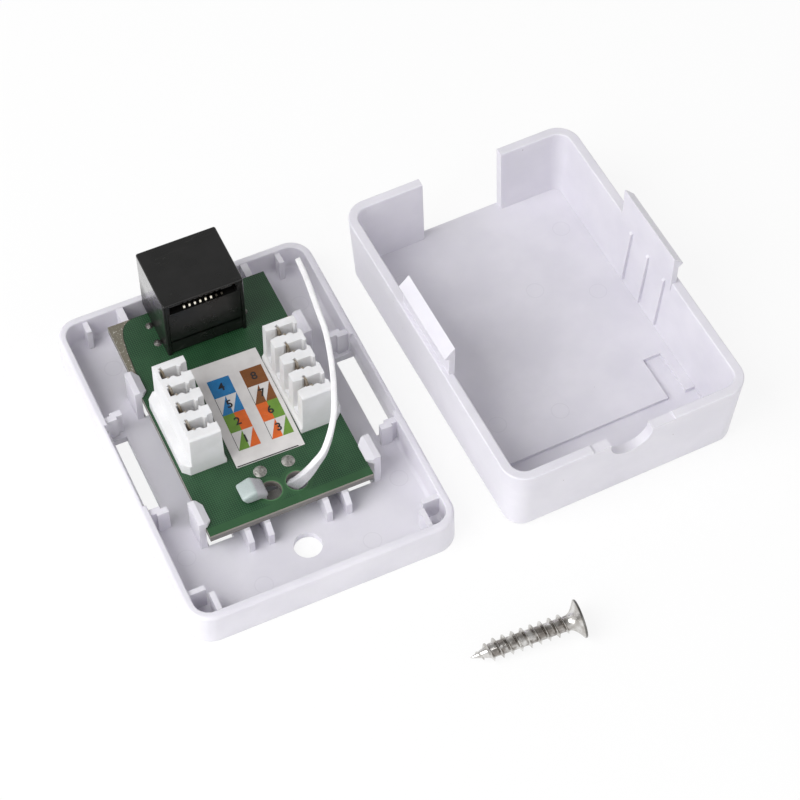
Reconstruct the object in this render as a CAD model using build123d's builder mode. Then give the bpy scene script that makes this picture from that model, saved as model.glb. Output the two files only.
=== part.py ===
from build123d import *
import os
from math import atan, cos, degrees, radians, sin, sqrt, tan

# Surface-mount network wall box, opened. Millimetres. The origin is the middle of the tray's back
# face, which lies on the wall; +Z points out of the wall and +Y to the edge with the jack's mouth.

# Circuit board, and the room the tray leaves beyond its ends
fit_clearance = 0.05
board_width = 30.5
board_length = 48.7
board_thickness = 1.6
board_centre_x = -0.5
board_near_space = 15.1
board_far_space = 5.2
board_underside = 6.0
board_top = board_underside + board_thickness
terminal_centre_x = -0.25
tie_hole_spacing = 4.9
tie_hole_diameter = 3.9
tie_hole_inset = 4.3
eyelet_spacing = 5.3
eyelet_diameter = 2.4
eyelet_bore = 1.2
eyelet_height = 0.25
eyelet_inset = 8.65

# Tray
tray_width = 49.8
tray_length = board_near_space + board_length + board_far_space
board_near_y = board_near_space - tray_length / 2
board_far_y = board_near_y + board_length
tie_hole_y = board_near_y + tie_hole_inset
eyelet_y = board_near_y + eyelet_inset
tray_height = 7.2
tray_draft = 1.5
tray_corner_radius = 4.5
tray_floor = 1.5
tray_wall = 1.65
tray_inner_corner_radius = 2.85
tray_rim_round = 0.7
tray_inner_rim_round = 0.25
tray_floor_fillet = 0.8
screw_hole_diameter = 5.1
screw_hole_inset = 10.1
screw_hole_y = screw_hole_inset - tray_length / 2
rib_root_overlap = 0.1

# Latch slots in the tray and the tabs of the cover that snap into them
latch_centre_y = 0.6
latch_slot_length = 18.5
latch_slot_inner_x = tray_width / 2 - 4.7
latch_nose_x = tray_width / 2 - 1.6
latch_pocket_depth = 0.7
latch_ledge_z = 3.0
latch_nose_z = 5.3
latch_lead_in = 0.65
latch_end_clearance = 0.4
latch_catch_clearance = 0.15
latch_running_clearance = 0.6

# Ribs and clips of the tray
slot_rib_top = 6.6
slot_rib_thickness = 1.2
slot_rib_gap = 0.7
slot_rib_reach = 2.1
slot_rib_step = 1.1
clip_inner_x = board_width / 2 - board_centre_x + fit_clearance
clip_thickness = 1.2
clip_length = 5.2
clip_centre_y = 14.9
clip_reach = 1.2
clip_rise = 1.4
clip_tip_height = 0.45
clip_tip_chamfer = 0.9
clip_slope_end = 0.12
window_width = 4.6
window_length = 4.9
window_setback = 0.3
board_rib_places = (5.45, 9.15)
board_rib_thickness = 1.05
board_rib_start_y = 15.0
board_rib_end_y = 21.6
board_rib_lead = 1.6
end_stop_x = 12.2
end_stop_thickness = 1.3
end_stop_top = 7.0
board_end_clearance = 0.2
corner_side_rib_y = 27.55
corner_side_rib_reach = 3.05
corner_end_rib_x = 19.5
corner_end_rib_reach = 4.05
corner_rib_thickness = 0.95
corner_rib_top = 6.5
far_rib_x = 18.9
far_rib_reach = 2.35

# Jack
jack_width = 15.24
jack_depth = 13.2
jack_height = 14.3
jack_centre_x = -0.45
jack_rear_y = board_far_y - 10.55
jack_edge_round = 0.4
jack_top_round = 0.3
mouth_width = 11.8
mouth_height = 6.8
mouth_floor = 5.15
keyway_width = 6.3
keyway_height = 1.55
keyway_length = 8.6
latch_notch_width = 3.3
latch_notch_height = 1.6
jack_front_wall = 1.55
wire_channel_width = 12.6
wire_channel_floor = 11.9
wire_channel_height = 1.5
wire_channel_front_wall = 1.65
rear_pocket_width = 13.8
rear_pocket_depth = 2.75
rear_pocket_height = 11.7
rear_window_width = 12.5
rear_window_height = 2.15
rear_window_offset_x = -0.2
tail_relief_width = 8.8
tail_relief_depth = 4.25
tail_relief_height = 3.0
peg_spacing = 11.43
peg_diameter = 3.1
peg_y = jack_rear_y + 6.35
peg_tip_chamfer = 0.6
peg_length = 2.9
peg_hole_clearance = 0.1

# Contact wires of the jack and the insert that holds them
contact_count = 8
contact_pitch = 1.016
wire_width = 0.35
wire_thickness = 0.45
tail_row_y = jack_rear_y + 1.15
tail_row_spacing = 2.5
tail_hole_diameter = 0.9
tail_end_z = 4.6
tail_jog_z = 9.6
tail_jog_rise = 1.0
riser_y = jack_rear_y + 0.55
riser_top_z = 19.45
wire_run_z = 20.6
wire_step_start = 1.0
wire_step_end = 2.2
wire_front_y = jack_rear_y + 10.55
wire_tip_y = jack_rear_y + 4.25
wire_tip_z = 17.75
wire_bend_radius = 0.4
carrier_clearance = 0.1
carrier_rear_gap = 0.05
carrier_bottom = 3.4
carrier_shelf_length = 4.9
carrier_shelf_thickness = 0.65
carrier_shelf_top = 12.6
carrier_ramp = 1.1
carrier_groove_clearance = 0.1

# Punch-down blocks
block_offset_x = 10.42
block_near_y = board_near_y + 12.9
block_far_y = block_near_y + 17.55
block_height = 10.15
block_half_top = 2.9
block_half_waist = 3.05
block_half_bottom = 3.4
block_skirt_height = 1.0
block_skirt_bevel = 0.7
block_edge_round = 0.5
foot_reach = 1.2
foot_height = 2.5
wire_slot_count = 4
wire_slot_pitch = 3.96
wire_slot_offset_y = 0.22
wire_slot_depth = 5.5
# Where the pocket of a slot starts, from the middle of the left and of the right block
pocket_start_left = -2.3
pocket_start_right = -1.2
# The two edges of a slot: distance from the pocket's start towards +X, half width
slot_near_edge = [(0, 0.9), (2.1, 0.95), (2.6, 1.45), (3.3, 1.45), (3.7, 0.57), (4.0, 1.0)]
slot_far_edge = [(0, 0.9), (3.3, 0.9), (3.6, 0.45), (4.0, 0.45), (4.2, 0.85)]
slot_mouth_half = 1.05
flank_groove_width = 1.5
flank_groove_mouth = 2.2
flank_groove_depth = 7.5

# Forked contacts of the blocks
fork_setback_x = 0.85
fork_offset_y = 0.2
fork_turn = 18.0
fork_width = 2.6
fork_thickness = 0.4
fork_top_drop = 0.4
fork_plate_height = 7.4
fork_mouth_width = 1.3
fork_mouth_depth = 0.9
fork_slit_width = 0.25
fork_slit_depth = 4.6
fork_pin_width = 0.8
fork_clearance = 0.08

# Printed card between the blocks
label_width = 12.7
label_near_space = 10.7
label_far_space = 15.2
label_length = board_length - label_near_space - label_far_space
label_thickness = 0.15
label_centre_x = 0.35
label_turn = -1.4
label_clearance = 0.1

# Solder
solder_radius = 0.85
solder_tip_radius = 0.6
solder_height = 0.9
pad_offset_x = 8.3
pad_setbacks = (3.55, 7.75)
pad_radius = 0.75
pad_height = 0.4

# Cable tie
tie_width = 2.5
tie_thickness = 1.0
tie_under_gap = 0.2
tie_bend_radius = 1.1
tie_start_rise = 0.4
tie_head_length = 3.9
tie_head_width = 3.9
tie_head_height = 2.3
tie_head_setback = 3.3
tie_head_offset_y = 0.6
tie_head_chamfer = 0.8
tie_head_top_chamfer = 0.4
tie_exit_height = 1.5
tie_tip_width = 1.3
# The free tail: points chosen along the strap, measured from the top of its hole
tie_tail = [
    (0.05, -0.2, 1.2),
    (0.4, -0.9, 2.8),
    (2.0, -1.8, 4.9),
    (5.0, -1.4, 8.4),
    (8.0, 1.9, 11.2),
    (10.25, 6.7, 12.5),
    (12.2, 12.25, 12.8),
    (13.75, 18.0, 12.6),
    (14.65, 23.6, 12.0),
    (15.9, 31.4, 10.8),
    (16.5, 36.5, 9.9),
]
# The strap turns on its side after the hole, until its width lies along this direction
tie_width_lean = (0.24, 0.52, -0.82)
tie_turn_points = 4

# Wall screw, lying in front of the tray
screw_tip_x = 15.83
screw_tip_y = -56.08
screw_heading = -5.55
screw_length = 19.85
screw_head_diameter = 6.85
screw_head_height = 2.4
screw_head_rim = 0.35
screw_neck_diameter = 2.9
screw_thread_diameter = 3.9
screw_core_diameter = 2.6
screw_pitch = 1.67
screw_first_crest = 1.17
screw_crest_half = 0.5
screw_crest_count = 10
screw_blunt_crest_count = 2
screw_head_waist_diameter = 4.25
screw_head_waist_height = 1.2
screw_point_length = 3.6
recess_width = 3.9
recess_slot = 0.95
recess_depth = 1.9
recess_taper = 12.0

# Cover, lying on its face beside the tray
cover_centre_x = 55.1
cover_centre_y = -2.98
cover_turn = 1.58
cover_width = tray_width - 2 * 1.3
cover_length = tray_length - 2 * 0.9
cover_height = 16.85
cover_corner_radius = 4.5
cover_draft = 4.0
cover_wall = 1.8
cover_floor = 1.4
cover_edge_round = 1.5
cover_rim_round = 0.3
pad_near_v = -21.0
pad_pocket_gap = 1.92
pad_pocket_width = 3.6
pad_pocket_v = -16.55
pad_pocket_length = 9.5
jack_notch_clearance = 0.5
notch_cut_length = 7.2
cable_notch_u = -0.5
cable_notch_width = 8.1
cable_notch_depth = 5.0
cable_notch_step_width = 16.0
cable_notch_step = 0.4
gusset_places_v = (5.65, -0.35, -6.1)
gusset_low_z = 3.2
gusset_drop = 0.6
gusset_thickness = 0.7
gusset_reach = 0.6
gusset_root = 0.9
tab_thickness = 1.1
tab_hook_reach = 0.9
tab_hook_rise = 0.65
tab_tip_flat = 0.1
tab_root = 2.0
tab_end_clearance = 0.1

os.makedirs("parts", exist_ok=True)


def dome_point(radius, height):
    """A point half way out on a shallow spherical dome: distance from its axis, height over its base."""
    sphere_radius = (radius**2 + height**2) / (2 * height)
    return radius / 2, height - sphere_radius + sqrt(sphere_radius**2 - radius**2 / 4)


# Tray: one moulding with its rim, ribs, four clips that hold the board, and two latch slots
tray_inner_width = tray_width - 2 * tray_wall
tray_inner_length = tray_length - 2 * tray_wall
latch_pocket_x = latch_nose_x + latch_pocket_depth

with BuildPart() as base_tray:
    with BuildSketch(Plane.XY):
        RectangleRounded(tray_width, tray_length, tray_corner_radius)
    extrude(amount=tray_height, taper=tray_draft)
    with BuildSketch(Plane.XY.offset(tray_floor)):
        RectangleRounded(tray_inner_width, tray_inner_length, tray_inner_corner_radius)
    extrude(amount=tray_height, mode=Mode.SUBTRACT)
    tray_floor_face = base_tray.faces().filter_by(Plane.XY).group_by(Axis.Z)[1][0]
    fillet(tray_floor_face.outer_wire().edges(), radius=tray_floor_fillet)
    tray_rim_face = base_tray.faces().filter_by(Plane.XY).sort_by(Axis.Z)[-1]
    fillet(tray_rim_face.outer_wire().edges(), radius=tray_rim_round)
    tray_rim_face = base_tray.faces().filter_by(Plane.XY).sort_by(Axis.Z)[-1]
    fillet(tray_rim_face.inner_wires()[0].edges(), radius=tray_inner_rim_round)

    # Low ribs on the floor, all ending below the board or the rim
    with BuildSketch(Plane.XY.offset(tray_floor)):
        for side in (-1, 1):
            for end in (-1, 1):
                rib_end_y = latch_centre_y + end * (latch_slot_length / 2 + slot_rib_gap)
                with Locations((side * (tray_inner_width / 2 - slot_rib_reach / 2 + rib_root_overlap),
                                rib_end_y + end * slot_rib_thickness / 2)):
                    Rectangle(slot_rib_reach, slot_rib_thickness)
                with Locations((side * (tray_inner_width / 2 - slot_rib_reach),
                                rib_end_y + end * (slot_rib_thickness / 2 + slot_rib_step / 2))):
                    Rectangle(slot_rib_reach, slot_rib_thickness)
    extrude(amount=slot_rib_top - tray_floor)
    with BuildSketch(Plane.XY.offset(tray_floor)):
        for side in (-1, 1):
            with Locations((side * (tray_inner_width / 2 - corner_side_rib_reach / 2), -corner_side_rib_y)):
                Rectangle(corner_side_rib_reach, corner_rib_thickness)
            with Locations((side * corner_end_rib_x, -(tray_inner_length / 2 - corner_end_rib_reach / 2))):
                Rectangle(corner_rib_thickness, corner_end_rib_reach)
            with Locations((side * far_rib_x, tray_inner_length / 2 - far_rib_reach / 2)):
                Rectangle(corner_rib_thickness, far_rib_reach)
    extrude(amount=corner_rib_top - tray_floor)
    end_stop_length = tray_inner_length / 2 - (board_far_y + board_end_clearance)
    with BuildSketch(Plane.XY.offset(tray_floor)):
        with Locations((-end_stop_x, tray_inner_length / 2 - end_stop_length / 2),
                       (end_stop_x, tray_inner_length / 2 - end_stop_length / 2)):
            Rectangle(end_stop_thickness, end_stop_length)
    extrude(amount=end_stop_top - tray_floor)

    # Ribs that carry the board, with a bevelled outer end
    for rib_x in board_rib_places:
        for side in (-1, 1):
            for end in (-1, 1):
                with BuildSketch(Plane.YZ.offset(side * rib_x)):
                    with BuildLine():
                        Polyline(
                            (end * board_rib_start_y, tray_floor),
                            (end * board_rib_start_y, board_underside),
                            (end * (board_rib_end_y - board_rib_lead), board_underside),
                            (end * board_rib_end_y, board_underside - board_rib_lead),
                            (end * board_rib_end_y, tray_floor),
                            close=True,
                        )
                    make_face()
                extrude(amount=board_rib_thickness / 2, both=True)

    # Four clips: a springy post with a hooked nose that reaches over the board's edge
    clip_hook_z = board_top + fit_clearance
    for side in (-1, 1):
        for end in (-1, 1):
            with BuildSketch(Plane.XZ.offset(-end * clip_centre_y)):
                with BuildLine():
                    Polyline(
                        (side * clip_inner_x, tray_floor),
                        (side * clip_inner_x, clip_hook_z),
                        (side * (clip_inner_x - clip_reach), clip_hook_z),
                        (side * (clip_inner_x - clip_reach), clip_hook_z + clip_tip_height),
                        (side * (clip_inner_x + clip_slope_end), clip_hook_z + clip_rise),
                        (side * (clip_inner_x + clip_thickness), clip_hook_z + clip_rise),
                        (side * (clip_inner_x + clip_thickness), tray_floor),
                        close=True,
                    )
                make_face()
            extrude(amount=clip_length / 2, both=True)
    clip_tip_edges = base_tray.edges().filter_by(Axis.Z).filter_by(
        lambda edge: abs(abs(edge.center().X) - (clip_inner_x - clip_reach)) < 0.01
        and edge.center().Z > clip_hook_z)
    chamfer(clip_tip_edges, length=clip_tip_chamfer)

    # Windows through the floor under the clips, the latch slots and the screw hole
    window_x = clip_inner_x - window_width / 2 - window_setback
    with BuildSketch(Plane.XY):
        for side in (-1, 1):
            for end in (-1, 1):
                with Locations((side * window_x, end * clip_centre_y)):
                    Rectangle(window_width, window_length)
        with Locations((0, screw_hole_y)):
            Circle(screw_hole_diameter / 2)
    extrude(amount=tray_floor, mode=Mode.SUBTRACT)
    with BuildSketch(Plane.XY):
        for side in (-1, 1):
            with Locations((side * (latch_slot_inner_x + latch_pocket_x) / 2, latch_centre_y)):
                Rectangle(latch_pocket_x - latch_slot_inner_x, latch_slot_length)
    extrude(amount=latch_ledge_z, mode=Mode.SUBTRACT)
    # A sloping lead-in above each slot lets the cover's hook slide past the ledge
    for side in (-1, 1):
        with BuildSketch(Plane.XZ.offset(-latch_centre_y)):
            with BuildLine():
                Polyline(
                    (side * latch_slot_inner_x, latch_ledge_z),
                    (side * latch_nose_x, latch_ledge_z),
                    (side * latch_nose_x, latch_nose_z),
                    (side * (latch_nose_x + latch_lead_in), tray_height + fit_clearance),
                    (side * latch_slot_inner_x, tray_height + fit_clearance),
                    close=True,
                )
            make_face()
        extrude(amount=latch_slot_length / 2, both=True, mode=Mode.SUBTRACT)
base_tray.part.label = "base_tray"
export_step(base_tray.part, "parts/base_tray.step")

# Circuit board with its drilled holes
jack_front_y = jack_rear_y + jack_depth
first_contact_x = jack_centre_x - (contact_count - 1) / 2 * contact_pitch
contact_places_x = [first_contact_x + i * contact_pitch for i in range(contact_count)]
tail_places = [(x, tail_row_y + (i % 2) * tail_row_spacing) for i, x in enumerate(contact_places_x)]
block_centre_y = (block_near_y + block_far_y) / 2
last_slot_y = block_centre_y + wire_slot_offset_y - (wire_slot_count - 1) / 2 * wire_slot_pitch
slot_places_y = [last_slot_y + (wire_slot_count - 1 - i) * wire_slot_pitch for i in range(wire_slot_count)]
fork_places = []
for side, pocket_start in ((-1, pocket_start_left), (1, pocket_start_right)):
    for slot_y in slot_places_y:
        fork_places.append((terminal_centre_x + side * block_offset_x + pocket_start + fork_setback_x,
                            slot_y + fork_offset_y))
tie_hole_left_x = terminal_centre_x - tie_hole_spacing / 2
tie_hole_right_x = terminal_centre_x + tie_hole_spacing / 2
board_centre_y = board_near_y + board_length / 2

with BuildPart() as circuit_board:
    with BuildSketch(Plane.XY.offset(board_underside)):
        with Locations((board_centre_x, board_centre_y)):
            Rectangle(board_width, board_length)
        with Locations((tie_hole_left_x, tie_hole_y), (tie_hole_right_x, tie_hole_y)):
            Circle(tie_hole_diameter / 2, mode=Mode.SUBTRACT)
        with Locations((terminal_centre_x - eyelet_spacing / 2, eyelet_y),
                       (terminal_centre_x + eyelet_spacing / 2, eyelet_y)):
            Circle(eyelet_bore / 2 + fit_clearance, mode=Mode.SUBTRACT)
        with Locations(*tail_places):
            Circle(tail_hole_diameter / 2, mode=Mode.SUBTRACT)
        with Locations(*fork_places):
            Circle(fork_pin_width / 2 + 2 * fit_clearance, mode=Mode.SUBTRACT)
        with Locations((jack_centre_x - peg_spacing / 2, peg_y), (jack_centre_x + peg_spacing / 2, peg_y)):
            Circle(peg_diameter / 2 + peg_hole_clearance, mode=Mode.SUBTRACT)
    extrude(amount=board_thickness)
circuit_board.part.label = "circuit_board"
export_step(circuit_board.part, "parts/circuit_board.step")

# Tinned eyelets: a barrel through the board with a shallow domed flange on each face
eyelet_dome_out, eyelet_dome_up = dome_point(eyelet_diameter / 2, eyelet_height)
with BuildPart() as board_eyelets:
    for end in (-1, 1):
        eyelet_x = terminal_centre_x + end * eyelet_spacing / 2
        with BuildSketch(Plane.XZ.offset(-eyelet_y)):
            with BuildLine():
                Polyline(
                    (eyelet_x + eyelet_diameter / 2, board_underside),
                    (eyelet_x + eyelet_bore / 2, board_underside),
                    (eyelet_x + eyelet_bore / 2, board_top),
                    (eyelet_x + eyelet_diameter / 2, board_top),
                )
                ThreePointArc(
                    (eyelet_x + eyelet_diameter / 2, board_top),
                    (eyelet_x + eyelet_dome_out, board_top + eyelet_dome_up),
                    (eyelet_x, board_top + eyelet_height),
                )
                Line((eyelet_x, board_top + eyelet_height), (eyelet_x, board_underside - eyelet_height))
                ThreePointArc(
                    (eyelet_x, board_underside - eyelet_height),
                    (eyelet_x + eyelet_dome_out, board_underside - eyelet_dome_up),
                    (eyelet_x + eyelet_diameter / 2, board_underside),
                )
            make_face()
        revolve(axis=Axis((eyelet_x, eyelet_y, 0), (0, 0, 1)))
board_eyelets.part.label = "board_eyelets"
export_step(board_eyelets.part, "parts/board_eyelets.step")

# Jack shell: the mouth with its latch keyway, the wire channel above it and the window in its back
with BuildPart() as jack_housing:
    with BuildSketch(Plane.XY.offset(board_top)):
        with Locations((jack_centre_x, jack_rear_y + jack_depth / 2)):
            Rectangle(jack_width, jack_depth)
    extrude(amount=jack_height)
    fillet(jack_housing.edges().filter_by(Axis.Z), radius=jack_edge_round)
    fillet(jack_housing.faces().sort_by(Axis.Z)[-1].edges(), radius=jack_top_round)
    with BuildSketch(Plane.XZ.offset(-jack_front_y)):
        with Locations((jack_centre_x, board_top + mouth_floor + mouth_height / 2)):
            Rectangle(mouth_width, mouth_height)
    extrude(amount=jack_depth, mode=Mode.SUBTRACT)
    keyway_z = board_top + mouth_floor - keyway_height / 2
    with BuildSketch(Plane.XZ.offset(-jack_front_y)):
        with Locations((jack_centre_x, keyway_z)):
            Rectangle(keyway_width, keyway_height)
    extrude(amount=keyway_length, mode=Mode.SUBTRACT)
    latch_notch_z = board_top + mouth_floor - keyway_height - latch_notch_height / 2
    with BuildSketch(Plane.XZ.offset(-jack_front_y)):
        with Locations((jack_centre_x, latch_notch_z)):
            Rectangle(latch_notch_width, latch_notch_height)
    extrude(amount=keyway_length, mode=Mode.SUBTRACT)
    with BuildSketch(Plane.XZ.offset(jack_front_wall - jack_front_y)):
        with Locations((jack_centre_x, latch_notch_z)):
            Rectangle(keyway_width, latch_notch_height)
    extrude(amount=keyway_length - jack_front_wall, mode=Mode.SUBTRACT)
    channel_z = board_top + wire_channel_floor + wire_channel_height / 2
    with BuildSketch(Plane.XZ.offset(wire_channel_front_wall - jack_front_y)):
        with Locations((jack_centre_x, channel_z)):
            Rectangle(wire_channel_width, wire_channel_height)
    extrude(amount=jack_depth - wire_channel_front_wall, mode=Mode.SUBTRACT)
    with BuildSketch(Plane.XY.offset(board_top)):
        with Locations((jack_centre_x, jack_rear_y + rear_pocket_depth / 2)):
            Rectangle(rear_pocket_width, rear_pocket_depth)
    extrude(amount=rear_pocket_height, mode=Mode.SUBTRACT)
    with BuildSketch(Plane.XY.offset(board_top)):
        with Locations((jack_centre_x, jack_rear_y + tail_relief_depth / 2)):
            Rectangle(tail_relief_width, tail_relief_depth)
    extrude(amount=tail_relief_height, mode=Mode.SUBTRACT)
    with BuildSketch(Plane.XY.offset(board_top + rear_pocket_height)):
        with Locations((jack_centre_x + rear_window_offset_x, jack_rear_y + rear_pocket_depth / 2)):
            Rectangle(rear_window_width, rear_pocket_depth)
    extrude(amount=rear_window_height, mode=Mode.SUBTRACT)
    with BuildSketch(Plane.XY.offset(board_top)):
        with Locations((jack_centre_x - peg_spacing / 2, peg_y), (jack_centre_x + peg_spacing / 2, peg_y)):
            Circle(peg_diameter / 2)
    extrude(amount=-peg_length)
    peg_ends = jack_housing.faces().filter_by(Plane.XY).sort_by(Axis.Z)[:2]
    chamfer(peg_ends.edges(), length=peg_tip_chamfer)
jack_housing.part.label = "jack_housing"
export_step(jack_housing.part, "parts/jack_housing.step")

# Insert of the jack: a rear wall with a channel for each wire, and the shelf that the wires run over
carrier_rear_y = jack_rear_y + carrier_rear_gap
carrier_front_y = jack_rear_y + rear_pocket_depth - carrier_clearance
carrier_wall_z = board_top + rear_pocket_height - 2 * carrier_clearance
carrier_shelf_z = board_top + carrier_shelf_top
channel_rear_y = riser_y - wire_thickness / 2 - fit_clearance
channel_front_y = riser_y + wire_thickness / 2 + fit_clearance
with BuildPart() as jack_contact_carrier:
    with BuildSketch(Plane.XY.offset(board_top + carrier_bottom)):
        with Locations((jack_centre_x, (carrier_rear_y + carrier_front_y) / 2)):
            Rectangle(rear_pocket_width - 2 * carrier_clearance, carrier_front_y - carrier_rear_y)
    extrude(amount=carrier_wall_z - board_top - carrier_bottom)
    with BuildSketch(Plane.YZ.offset(jack_centre_x)):
        with BuildLine():
            Polyline(
                (carrier_front_y - carrier_ramp, carrier_wall_z - carrier_shelf_thickness),
                (carrier_front_y - carrier_ramp, carrier_wall_z),
                (carrier_front_y, carrier_shelf_z),
                (carrier_front_y + carrier_shelf_length, carrier_shelf_z),
                (carrier_front_y + carrier_shelf_length, carrier_shelf_z - carrier_shelf_thickness),
                (carrier_front_y, carrier_shelf_z - carrier_shelf_thickness),
                (carrier_front_y, carrier_wall_z - carrier_shelf_thickness),
                close=True,
            )
        make_face()
    extrude(amount=rear_window_width / 2 + rear_window_offset_x - carrier_clearance, both=True)
    with BuildSketch(Plane.XY.offset(board_top + carrier_bottom)):
        for contact_x in contact_places_x:
            with Locations((contact_x, (channel_rear_y + channel_front_y) / 2)):
                Rectangle(wire_width + 2 * carrier_groove_clearance, channel_front_y - channel_rear_y)
    extrude(amount=carrier_wall_z - board_top - carrier_bottom, mode=Mode.SUBTRACT)
jack_contact_carrier.part.label = "jack_contact_carrier"
export_step(jack_contact_carrier.part, "parts/jack_contact_carrier.step")

# Contact wires: solder tail, riser up the back, run over the shelf and spring end in the mouth
for i, contact_x in enumerate(contact_places_x):
    wire_tail_y = tail_row_y + (i % 2) * tail_row_spacing
    with BuildPart() as contact_wire:
        with BuildSketch(Plane.YZ.offset(contact_x)):
            with BuildLine():
                FilletPolyline(
                    (wire_tail_y, tail_end_z),
                    (wire_tail_y, tail_jog_z),
                    (riser_y, tail_jog_z + tail_jog_rise),
                    (riser_y, riser_top_z),
                    (riser_y + wire_step_start, riser_top_z),
                    (riser_y + wire_step_end, wire_run_z),
                    (wire_front_y, wire_run_z),
                    (wire_tip_y, wire_tip_z),
                    radius=wire_bend_radius,
                )
            trace(line_width=wire_thickness)
        extrude(amount=wire_width / 2, both=True)
    contact_name = f"jack_contact_{i + 1}"
    contact_wire.part.label = contact_name
    export_step(contact_wire.part, f"parts/{contact_name}.step")

# Punch-down blocks: four wire slots each, with slits for the forked contacts
block_length = block_far_y - block_near_y
block_top = board_top + block_height
fork_top_z = block_top - fork_top_drop
fork_bottom_z = fork_top_z - fork_plate_height
fork_across = (-sin(radians(fork_turn)), cos(radians(fork_turn)), 0)
fork_normal = (cos(radians(fork_turn)), sin(radians(fork_turn)), 0)
for side, side_name, pocket_start in ((-1, "left", pocket_start_left), (1, "right", pocket_start_right)):
    block_x = terminal_centre_x + side * block_offset_x
    with BuildPart() as terminal_block:
        with BuildSketch(Plane.XZ.offset(-block_far_y)):
            with BuildLine():
                half_section = Polyline(
                    (block_x, board_top),
                    (block_x + block_half_bottom, board_top),
                    (block_x + block_half_bottom, board_top + block_skirt_height),
                    (block_x + block_half_waist, board_top + block_skirt_height + block_skirt_bevel),
                    (block_x + block_half_top, block_top),
                    (block_x, block_top),
                )
                mirror(half_section, about=Plane.YZ.offset(block_x))
            make_face()
        extrude(amount=block_length)
        block_top_face = terminal_block.faces().sort_by(Axis.Z)[-1]
        fillet(block_top_face.edges().filter_by(Axis.X), radius=block_edge_round)
        with BuildSketch(Plane.XY.offset(board_top)):
            with BuildLine():
                outer_x = block_x + side * block_half_bottom
                Polyline(
                    (block_x, block_near_y),
                    (outer_x, block_near_y),
                    (outer_x + side * foot_reach, block_near_y + foot_reach),
                    (outer_x + side * foot_reach, block_far_y - foot_reach),
                    (outer_x, block_far_y),
                    (block_x, block_far_y),
                    close=True,
                )
            make_face()
        extrude(amount=foot_height)
        pocket_x = block_x + pocket_start
        for slot_y in slot_places_y:
            near_edge = [(pocket_x + along, slot_y - half) for along, half in slot_near_edge]
            far_edge = [(pocket_x + along, slot_y + half) for along, half in slot_far_edge]
            with BuildSketch(Plane.XY.offset(block_top - wire_slot_depth)):
                with BuildLine():
                    Polyline(
                        *near_edge,
                        (block_x + block_half_bottom, slot_y - slot_mouth_half),
                        (block_x + block_half_bottom, slot_y + slot_mouth_half),
                        *reversed(far_edge),
                        close=True,
                    )
                make_face()
            extrude(amount=wire_slot_depth, mode=Mode.SUBTRACT)
            if side_name == "right":
                with BuildSketch(Plane.XY.offset(block_top - flank_groove_depth)):
                    with BuildLine():
                        Polyline(
                            (block_x - block_half_bottom, slot_y - flank_groove_mouth / 2),
                            (pocket_x, slot_y - flank_groove_width / 2),
                            (pocket_x, slot_y + flank_groove_width / 2),
                            (block_x - block_half_bottom, slot_y + flank_groove_mouth / 2),
                            close=True,
                        )
                    make_face()
                extrude(amount=flank_groove_depth, mode=Mode.SUBTRACT)
            fork_at = (pocket_x + fork_setback_x, slot_y + fork_offset_y, 0)
            fork_plane = Plane(origin=fork_at, x_dir=fork_across, z_dir=fork_normal)
            with BuildSketch(fork_plane):
                with Locations((0, (fork_bottom_z - fork_clearance + block_top) / 2)):
                    Rectangle(fork_width + 2 * fork_clearance, block_top - fork_bottom_z + fork_clearance)
                with Locations((0, (board_top + fork_bottom_z) / 2)):
                    Rectangle(fork_pin_width + 2 * fork_clearance, fork_bottom_z - board_top)
            extrude(amount=fork_thickness / 2 + fork_clearance, both=True, mode=Mode.SUBTRACT)
    terminal_block.part.label = f"terminal_block_{side_name}"
    export_step(terminal_block.part, f"parts/terminal_block_{side_name}.step")

# Forked contacts: a plate with a V mouth and a slit that cuts into the wire, and a solder pin
for i, (fork_x, fork_y) in enumerate(fork_places):
    with BuildPart() as forked_contact:
        with BuildSketch(Plane(origin=(fork_x, fork_y, 0), x_dir=fork_across, z_dir=fork_normal)):
            with BuildLine():
                half_fork = Polyline(
                    (0, tail_end_z),
                    (fork_pin_width / 2, tail_end_z),
                    (fork_pin_width / 2, fork_bottom_z),
                    (fork_width / 2, fork_bottom_z),
                    (fork_width / 2, fork_top_z),
                    (fork_mouth_width / 2, fork_top_z),
                    (fork_slit_width / 2, fork_top_z - fork_mouth_depth),
                    (fork_slit_width / 2, fork_top_z - fork_slit_depth),
                    (0, fork_top_z - fork_slit_depth),
                )
                mirror(half_fork, about=Plane.YZ)
            make_face()
        extrude(amount=fork_thickness / 2, both=True)
    contact_name = f"terminal_contact_{i + 1}"
    forked_contact.part.label = contact_name
    export_step(forked_contact.part, f"parts/{contact_name}.step")

# Printed card, stuck on the board a little askew and trimmed where it meets the blocks
label_left_limit = terminal_centre_x - block_offset_x + block_half_bottom + label_clearance
label_right_limit = terminal_centre_x + block_offset_x - block_half_bottom - label_clearance
label_centre_y = board_near_y + label_near_space + label_length / 2
with BuildPart() as wiring_label:
    with BuildSketch(Plane.XY.offset(board_top)):
        with Locations(Location((label_centre_x, label_centre_y), label_turn)):
            Rectangle(label_width, label_length)
        with Locations(((label_left_limit + label_right_limit) / 2, label_centre_y)):
            Rectangle(label_right_limit - label_left_limit, 2 * label_length, mode=Mode.INTERSECT)
    extrude(amount=label_thickness)
wiring_label.part.label = "wiring_label"
export_step(wiring_label.part, "parts/wiring_label.step")

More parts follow.
